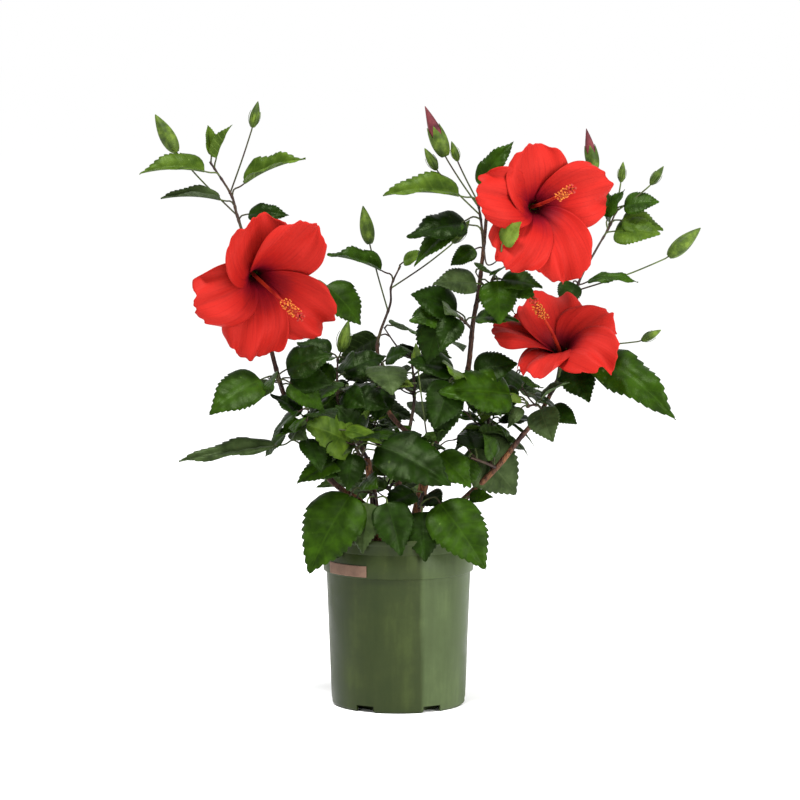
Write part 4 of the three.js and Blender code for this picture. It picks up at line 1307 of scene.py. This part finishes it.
petalBatch, columnBatch = newBatch(), newBatch()
stamenRows = []
for bloom in blooms.values():
    place, faces = bloomFrame(bloom)
    for i, row in enumerate(bloom["petals"]):
        addPetal(petalBatch, place, row, bloom["scale"], i * 1.7)
    # column: a slim tube, and the stamens that spiral round its brush
    t = np.linspace(0, 1, column["rings"])
    ringAngle = np.linspace(0, 2 * np.pi, column["sides"], endpoint=False)
    tubeRadius = column["radius"] * (1.25 - 0.55 * t)[:, None]
    addTo(columnBatch, place(onColumn(bloom, t)[:, None] + polar(tubeRadius, ringAngle, 0.0)),
          latheFaces(column["rings"], column["sides"]))
    draw = seeded(40 + len(stamenRows))
    for i in range(column["stamens"]):
        along = lerp(column["brushStart"], column["brushEnd"], (i + 0.5) / column["stamens"])
        turn = math.radians(goldenTurn * i + 20 * draw())
        lean = math.radians(lerp(55, 85, draw()))
        origin = onColumn(bloom, along)
        ahead = place(origin + polar(math.sin(lean), turn, math.cos(lean)))
        size = column["filament"] * lerp(0.75, 1.15, draw())
        addStamen(stamenRows, place(origin), ahead, size, 0)
    # stigmas: five short branches, each with a round pad
    tip = onColumn(bloom, 1)
    lean = math.radians(column["stigmaLean"])
    for i in range(column["stigmas"]):
        turn = 2 * math.pi * (i + 0.2) / column["stigmas"]
        local = polar(math.sin(lean), turn, math.cos(lean))
        foot = place(tip - [0, 0, 1])
        ahead = foot + place(tip + local) - place(tip)
        addStamen(stamenRows, foot, ahead, column["stigma"], 1)
    # calyx: a ribbed cup round the petals' funnel, with five pointed lobes, and a ring of bracts
    share = np.linspace(0, 1, calyx["rings"])[:, None]
    around = np.linspace(0, 2 * np.pi, calyx["sides"], endpoint=False)[None, :]
    lobes = np.abs(np.cos(2.5 * (around - math.radians(bloom["petals"][0][0])))) ** 1.5
    z = -calyx["below"] + share * (calyx["cup"] + calyx["lobe"] * lobes)
    funnel = petal["throatRadius"] + 0.42 * np.maximum(z, 0) + 0.018 * np.maximum(z, 0) ** 2
    belly = calyx["radius"] * np.sqrt(np.clip((z + calyx["below"] + 0.6) / 7, 0, 1))
    swell = np.maximum(belly, funnel + 1.6) * np.minimum(1, 0.3 + 2.5 * share)
    swell = swell * (1 + 0.03 * np.cos(10 * around))
    cup = np.concatenate([polar(swell, around, z), polar(swell - 0.5, around, z + 0.4)[::-1]])
    addTo(greenBatch, place(cup), latheFaces(len(cup), calyx["sides"]))
    foot = place(np.array([0, 0, -calyx["below"]]))
    right, over = acrossAxes(faces)
    for i in range(calyx["bracts"]):
        angle = 2 * math.pi * (i + 0.5) / calyx["bracts"]
        outward = right * math.cos(angle) + over * math.sin(angle)
        addBract(greenBatch, foot + outward * 2.4 + faces * 1.5, outward, faces, 14, 1.8, 55)
    start = np.array(bloom["from"], dtype=float)
    bow = lerp(start, foot, 0.5) - faces * 8
    plant["stalks"].append({"knots": [start, bow, foot, foot + faces * 3], "radii": [1.25, 1.5]})


stamenForms = [  # in units of the filament; clean is whether the pad takes the column's skin
    # a fine filament with a round anther at its end
    {"sides": 4, "radii": (0.05, 0.04), "tall": 0.82, "padRings": 5, "padSides": 8,
     "pad": (0.21, 0.15, 0.13), "middle": 0.92, "clean": 0},
    # a stigma: a thicker branch with a velvety pad
    {"sides": 6, "radii": (0.09, 0.07), "tall": 0.8, "padRings": 7, "padSides": 12,
     "pad": (0.24, 0.24, 0.17), "middle": 0.9, "clean": 1},
]


def stamenShape(form):
    batch = newBatch()
    ring = np.linspace(0, 2 * np.pi, form["sides"], endpoint=False)
    ends = [polar(radius, ring, z) for radius, z in zip(form["radii"], (0, form["tall"]))]
    addTo(batch, np.concatenate(ends), latheFaces(2, form["sides"]))
    flags = [1] * len(batch["faces"])
    down = np.pi * (np.arange(form["padRings"])[:, None] + 0.35) / (form["padRings"] - 0.3)
    around = 2 * np.pi * np.arange(form["padSides"])[None, :] / form["padSides"]
    ball = polar(np.sin(down), around, -np.cos(down)) * form["pad"] + [0, 0, form["middle"]]
    addTo(batch, ball, latheFaces(form["padRings"], form["padSides"]))
    flags += [form["clean"]] * (len(batch["faces"]) - len(flags))
    return np.concatenate(batch["points"]), batch["faces"], None, flags


# Petal skin: silky, deep scarlet, crimson in the throat, with fine veins from claw to rim.
petalLook = {
    "throat": "#1a0006", "deep": "#5e0513", "scarlet": "#8b1410", "rim": "#961c16",
    "vein": "#6a070c",
}
petals, tree, shader, spot = startMaterial(
    "hibiscus petal skin", petalLook["scarlet"], Roughness=0.55, Specular_IOR_Level=0.1,
    Specular_Tint=(1.0, 0.5, 0.45, 1.0))
uv, across, along = uvOf(tree)
drift = addNoise(tree, spot, 45.0, 3.0)
# long streaks: noise that is fine across the petal and slow along it
streaks = addNoise(tree, stretched(tree, uv, (34.0, 2.2, 1.0)), 1.0, 3.0, 0.6)
away = addMath(tree, "MULTIPLY_ADD", drift, 0.3, along)
petalColour = rampOf(tree, addMath(tree, "MULTIPLY_ADD", streaks, 0.2, away), [
    (0.32, petalLook["throat"]), (0.49, petalLook["deep"]), (0.72, petalLook["scarlet"]),
    (0.96, petalLook["rim"]),
])
veins = addNoise(tree, stretched(tree, uv, (70.0, 1.1, 1.0)), 1.0, 2.0)
veinMask = addRange(tree, veins, 0.52, 0.7, 0.0, 0.45)
feed(tree, shader, "Base Color",
     blended(tree, veinMask, petalColour, linear(petalLook["vein"])))
addBump(tree, shader, veins, 0.35, 0.0008)

# Column skin: smooth and fleshy, scarlet like the petals.
columnSkin = mottled("column skin", "#8c1a12", 90.0, 2.0, [
    (0.35, "#7c1210"), (0.65, "#9c2a16"),
], Roughness=0.45, Specular_IOR_Level=0.2)

# Anther: a dusty ball of pollen, orange yellow.
antherSkin = mottled("anther pollen", "#e9952a", 400.0, 2.0, [
    (0.35, "#a8440e"), (0.65, "#bc741a"),
], Roughness=0.9)

# Calyx and bract skin: matt green with fine hairs.
calyxSkin = mottled("calyx skin", "#3c5418", 130.0, 3.0, [
    (0.36, "#2a3a0e"), (0.52, "#3c4e14"), (0.68, "#53661e"),
], Roughness=0.55, Specular_IOR_Level=0.15)

# Furled petals of a ripe bud: dull purple red.
furled = mottled("furled petals", "#521826", 110.0, 3.0, [
    (0.35, "#360c14"), (0.65, "#5c2428"),
], Roughness=0.55, Specular_IOR_Level=0.2)

stamenShapes = shapeCollection("stamenShape", [stamenShape(form) for form in stamenForms])
keepPiece(batchObject("petals", petalBatch, petals), "bloom", *blooms)
keepPiece(batchObject("columns", columnBatch, columnSkin), "bloom")
keepPiece(runTree(pointHolder("stamensHolder", stamenRows), dealSpray, {
    "Shapes": stamenShapes, "Upper": antherSkin, "Under": columnSkin,
}), "bloom")
keepPiece(batchObject("calyces", greenBatch, calyxSkin), "foliage")
keepPiece(batchObject("furledTips", tipBatch, furled), "bloom")

stalkRoutes = []
for stalk in plant["stalks"]:
    spots = smoothRoute(stalk["knots"], 14)
    stalkRoutes.append((spots, taper(spots, stalk["radii"])))
keepPiece(runTree(routeHolder("stalksHolder", stalkRoutes), followRoute, {
    "Sides": 7, "Ring Spacing": 0.0024, "Relief": 0.0, "Lenticels": 0.0, "Bark": greenStem,
}), "foliage")
print("plant dressed")


# Pot, soil and sticker.

potForm = {
    "foot": 65.5, "rim": 75, "bandFoot": 132, "wall": 1.8, "segments": 192,
    "drains": 6, "drainWidth": 19, "drainHeight": 6.5, "drainDepth": 8, "firstDrain": 30,
}


def corner(cx, cz, radius, start, end, steps):
    angles = np.radians(np.linspace(start, end, steps + 1))
    return [[cx + radius * math.cos(a), cz + radius * math.sin(a)] for a in angles]


def potProfile():
    # radius and height, from the middle of the underside, up the outside and down the inside
    foot, rim, wall = potForm["foot"], potForm["rim"], potForm["wall"]
    outer = foot - 2.6
    inner = outer - 14
    under = rim - 4.4
    return (
        [[0.001, 0], [inner, 0], [inner, 6.5], [outer, 6.5], [outer, 0.4], [outer + 0.4, 0]]
        + corner(foot - 3.5, 3.5, 3.5, -90, 0, 6)
        + [[lerp(foot, under, z / potForm["bandFoot"]), z] for z in (20, 50, 90, 129)]
        + [[under + 0.1, 131.4], [under + 0.6, 131.9], [rim - 2.2, 132.1], [rim - 1.6, 132.6]]
        + [[rim - 1.4, 133.4]]
        + [[rim - 1.16, 154.4], [rim - 1.42, 154.9], [rim - 1.4, 155.6], [rim - 1.1, 156]]
        + [[rim - 0.98, 163.6], [rim - 0.7, 164.6], [rim - 0.15, 165.4], [rim, 166.2], [rim, 168.8]]
        + corner(rim - 1.2, 168.8, 1.2, 0, 90, 4)[1:]
        + corner(rim - 1.6, 169, 1.0, 90, 180, 3)
        + [[rim - 0.8 - wall, 166], [rim - 1.4 - wall, 135], [under - wall, 131], [foot - 1.4, 8.3]]
        + [[inner - wall, 8.3], [inner - wall - 2, wall], [0.001, wall]]
    )


def turnedMesh(name, profile, segments):
    angles = np.linspace(0, 2 * np.pi, segments, endpoint=False)
    points = [[r * math.cos(a), r * math.sin(a), z] for r, z in profile for a in angles]
    made = meshObject(name, points, latheFaces(len(profile), segments, closed=False))
    # the pole rings close to a single point
    work = bmesh.new()
    work.from_mesh(made.data)
    bmesh.ops.remove_doubles(work, verts=work.verts, dist=0.01 * mm)
    bmesh.ops.recalc_face_normals(work, faces=work.faces)
    work.to_mesh(made.data)
    work.free()
    made.data.update()
    return made


pot = turnedMesh("potHolder", potProfile(), potForm["segments"])
cutters = []
for i in range(potForm["drains"]):
    turn = math.radians(potForm["firstDrain"] + 360 / potForm["drains"] * i)
    half, deep, tall = potForm["drainWidth"] / 2, potForm["drainDepth"], potForm["drainHeight"]
    way = np.array([math.cos(turn - math.pi / 2), math.sin(turn - math.pi / 2), 0])
    side = np.array([-way[1], way[0], 0])
    block = [way * (potForm["foot"] + deep * a) + side * half * b + [0, 0, z]
             for z in (-tall, tall) for a, b in ((-1, -1), (1, -1), (1, 1), (-1, 1))]
    cutter = meshObject(f"drain{i}", block, [
        [0, 3, 2, 1], [4, 5, 6, 7], [0, 1, 5, 4], [1, 2, 6, 5], [2, 3, 7, 6], [3, 0, 4, 7],
    ])
    cutters.append(cutter)
    cut = pot.modifiers.new(f"drain{i}", "BOOLEAN")
    cut.operation, cut.object, cut.solver = "DIFFERENCE", cutter, "MANIFOLD"
pot = baked(pot, "pot.moulded")
for cutter in cutters:
    bpy.data.objects.remove(cutter)
pot.data.shade_smooth()
pot.data.set_sharp_from_angle(angle=math.radians(32))

# Polypropylene pot: injection moulded, olive green, a soft sheen with dust, drip marks and
# fine scuffs from the nursery bench.
plastic, tree, shader, spot = startMaterial(
    "moulded polypropylene", "#283212", Roughness=0.4, IOR=1.49, Specular_IOR_Level=0.14)
drips = addNoise(tree, stretched(tree, spot, (1.0, 1.0, 0.12)), 55.0, 4.0, 0.6)
dust = addNoise(tree, spot, 22.0, 5.0, 0.65)
potMask = addMath(tree, "MULTIPLY", drips, dust)
potColour = rampOf(tree, potMask, [(0.16, "#202a0e"), (0.27, "#262f12"), (0.4, "#2f3918")])
# painted light: the right side is paler, for the light that falls on it, with a soft upright edge a
# little right of the middle
side = addNode(tree, "ShaderNodeSeparateXYZ", {0: spot})
paintedLitSide = addRange(tree, addMath(tree, "MULTIPLY_ADD", drips, 0.006, side), 0.0235, 0.0285, 0.0, 1.0)
paintedLitColour = rampOf(tree, potMask, [(0.14, "#333e21"), (0.27, "#3a4628"), (0.42, "#455231")])
feed(tree, shader, "Base Color", blended(tree, paintedLitSide, potColour, paintedLitColour))
feed(tree, shader, "Roughness", addRange(tree, dust, 0.35, 0.7, 0.34, 0.56))
addBump(tree, shader, addNoise(tree, spot, 1400.0, 2.0), 0.12, 0.0003)
pot.data.materials.clear()
pot.data.materials.append(plastic)
keepPiece(pot, "pot", "pot")

# Sticker: a paper strip with a matt face, gone pale pink, with worn and dirty edges.
sticker = {
    "width": 50, "height": 11, "bottom": 133.5, "thick": 0.3, "turn": -134, "radius": 74.25,
    "lean": 0.014, "steps": 40, "rises": 10,
}
shares = [(j / sticker["steps"], i / sticker["rises"])
          for i in range(sticker["rises"] + 1) for j in range(sticker["steps"] + 1)]
points = []
for layer in (1, 0):
    for x, y in shares:
        nip = 0.0012 * math.sin(31 * (x - 0.5)) + 0.0009 * math.sin(77 * (x - 0.5) + 2 * y)
        edge = 1 + nip * 10
        around = math.radians(sticker["turn"]) + (x - 0.5) * edge * sticker["width"] / sticker["radius"]
        up = (0.5 + (y - 0.5) * edge) * sticker["height"]
        out = sticker["radius"] + up * sticker["lean"] + layer * sticker["thick"]
        points.append(polar(out, around, sticker["bottom"] + up))
stickerFaces = [face[::-1] for face in shellFaces(sticker["rises"] + 1, sticker["steps"] + 1)]
paper = mottled("worn paper sticker", "#b98468", 90.0, 5.0, [
    (0.3, "#553f31"), (0.5, "#604738"), (0.72, "#6c5242"),
], grain=0.7, Roughness=0.85)
keepPiece(meshObject("paperSticker", points, stickerFaces, shares + shares, paper),
          "label", "rim_label")

# Potting soil: peat crumbs, dark and damp, over the whole top.
soilSkin = mottled("peat potting soil", "#2c2018", 350.0, 4.0, [
    (0.36, "#140e0a"), (0.55, "#261c14"), (0.72, "#3c2e22"),
], grain=0.7, bump=(0.8, 0.002), Roughness=0.95)
soilNode = frame["nodes"]["soil"]
soilNode.data.materials.clear()
soilNode.data.materials.append(soilSkin)


def crumbTree():
    tree, given = startTree("scatterCrumbs", [
        ("Density", "Float", 120000.0),
        ("Crumb Size", "Float", 0.0022),
        ("Seed", "Int", 3),
        ("Soil", "Material", None),
    ])
    spots = addNode(tree, "GeometryNodeDistributePointsOnFaces", {
        "Mesh": given["Geometry"], "Density": given["Density"], "Seed": given["Seed"],
    })
    crumb = addNode(tree, "GeometryNodeMeshIcoSphere", {
        "Radius": given["Crumb Size"], "Subdivisions": 2,
    })
    dealt = addNode(tree, "GeometryNodeInstanceOnPoints", {
        "Points": spots, "Instance": crumb,
        "Rotation": randomSize(tree, (0.0, 0.0, 0.0), (6.28, 6.28, 6.28), given["Seed"]),
        "Scale": randomSize(tree, (0.3, 0.25, 0.2), (1.1, 0.9, 0.8), 17),
    })
    real = addNode(tree, "GeometryNodeRealizeInstances", {"Geometry": dealt})
    noise = addNoise(tree, addNode(tree, "GeometryNodeInputPosition"), 500.0, 2.0)
    centred = addNode(tree, "ShaderNodeVectorMath", {0: noise.outputs[1], 1: (0.5, 0.5, 0.5)},
                      operation="SUBTRACT")
    push = addNode(tree, "ShaderNodeVectorMath", {0: centred, "Scale": 0.0022}, operation="SCALE")
    rough = addNode(tree, "GeometryNodeSetPosition", {"Geometry": real, "Offset": push})
    smooth = addNode(tree, "GeometryNodeSetShadeSmooth", {"Geometry": rough})
    return endTree(tree, dressed(tree, smooth, given["Soil"]))


soilDisc = {"rings": 12, "sides": 36, "radius": 66.5, "drop": 0.3}
sides = soilDisc["sides"]
discPoints = [[0, 0, groundLevel]]
for i in range(1, soilDisc["rings"] + 1):
    for j in range(sides):
        discPoints.append(polar(soilDisc["radius"] * i / soilDisc["rings"],
                                 2 * math.pi * j / sides, groundLevel - soilDisc["drop"]))
discFaces = [[0, 1 + j, 1 + (j + 1) % sides] for j in range(sides)]
for i in range(soilDisc["rings"] - 1):
    for j in range(sides):
        a, b = 1 + i * sides + j, 1 + i * sides + (j + 1) % sides
        discFaces.append([a, a + sides, b + sides, b])
keepPiece(runTree(meshObject("soilCrumbsHolder", discPoints, discFaces), crumbTree(), {
    "Density": 115000.0, "Crumb Size": 0.0024, "Seed": 3, "Soil": soilSkin,
}), "soil")

for shapes in (leafShapes, stamenShapes):
    for shape in list(shapes.objects):
        bpy.data.objects.remove(shape)
    bpy.data.collections.remove(shapes)


# Floor and light.

reach = 60000  # so far out that its edge never shows
floorMesh = meshObject("floor", [[-reach, -reach, 0], [reach, -reach, 0], [reach, reach, 0],
                                 [-reach, reach, 0]], [[0, 1, 2, 3]])
# Floor: seamless white studio paper, fully matt, so that it runs into the white surround.
floorMesh.data.materials.append(startMaterial(
    "matt white studio paper", "#ffffff", Roughness=1.0, Specular_IOR_Level=0.0)[0])

world = bpy.data.worlds.new("studio")
world.use_nodes = True
world.node_tree.nodes["Background"].inputs[0].default_value = (1, 1, 1, 1)
world.node_tree.nodes["Background"].inputs[1].default_value = 1.0
bpy.context.scene.world = world
bpy.context.scene.view_settings.view_transform = "Standard"

lamps = {  # place in metres, size, power
    "keyTop": ((-0.5, -1.2, 2.8), (0.7, 0.7), 115),
    "stripRight": ((1.3, -0.95, 0.75), (0.5, 1.5), 30),
}
for name, (place, size, power) in lamps.items():
    data = bpy.data.lights.new(name, "AREA")
    data.shape = "RECTANGLE"
    data.size, data.size_y = size
    data.energy = power
    lamp = linked(name, data)
    lamp.location = place
    lamp.rotation_euler = (Vector((0, 0, 0.3)) - Vector(place)).to_track_quat("-Z", "Y").to_euler()

print("done")
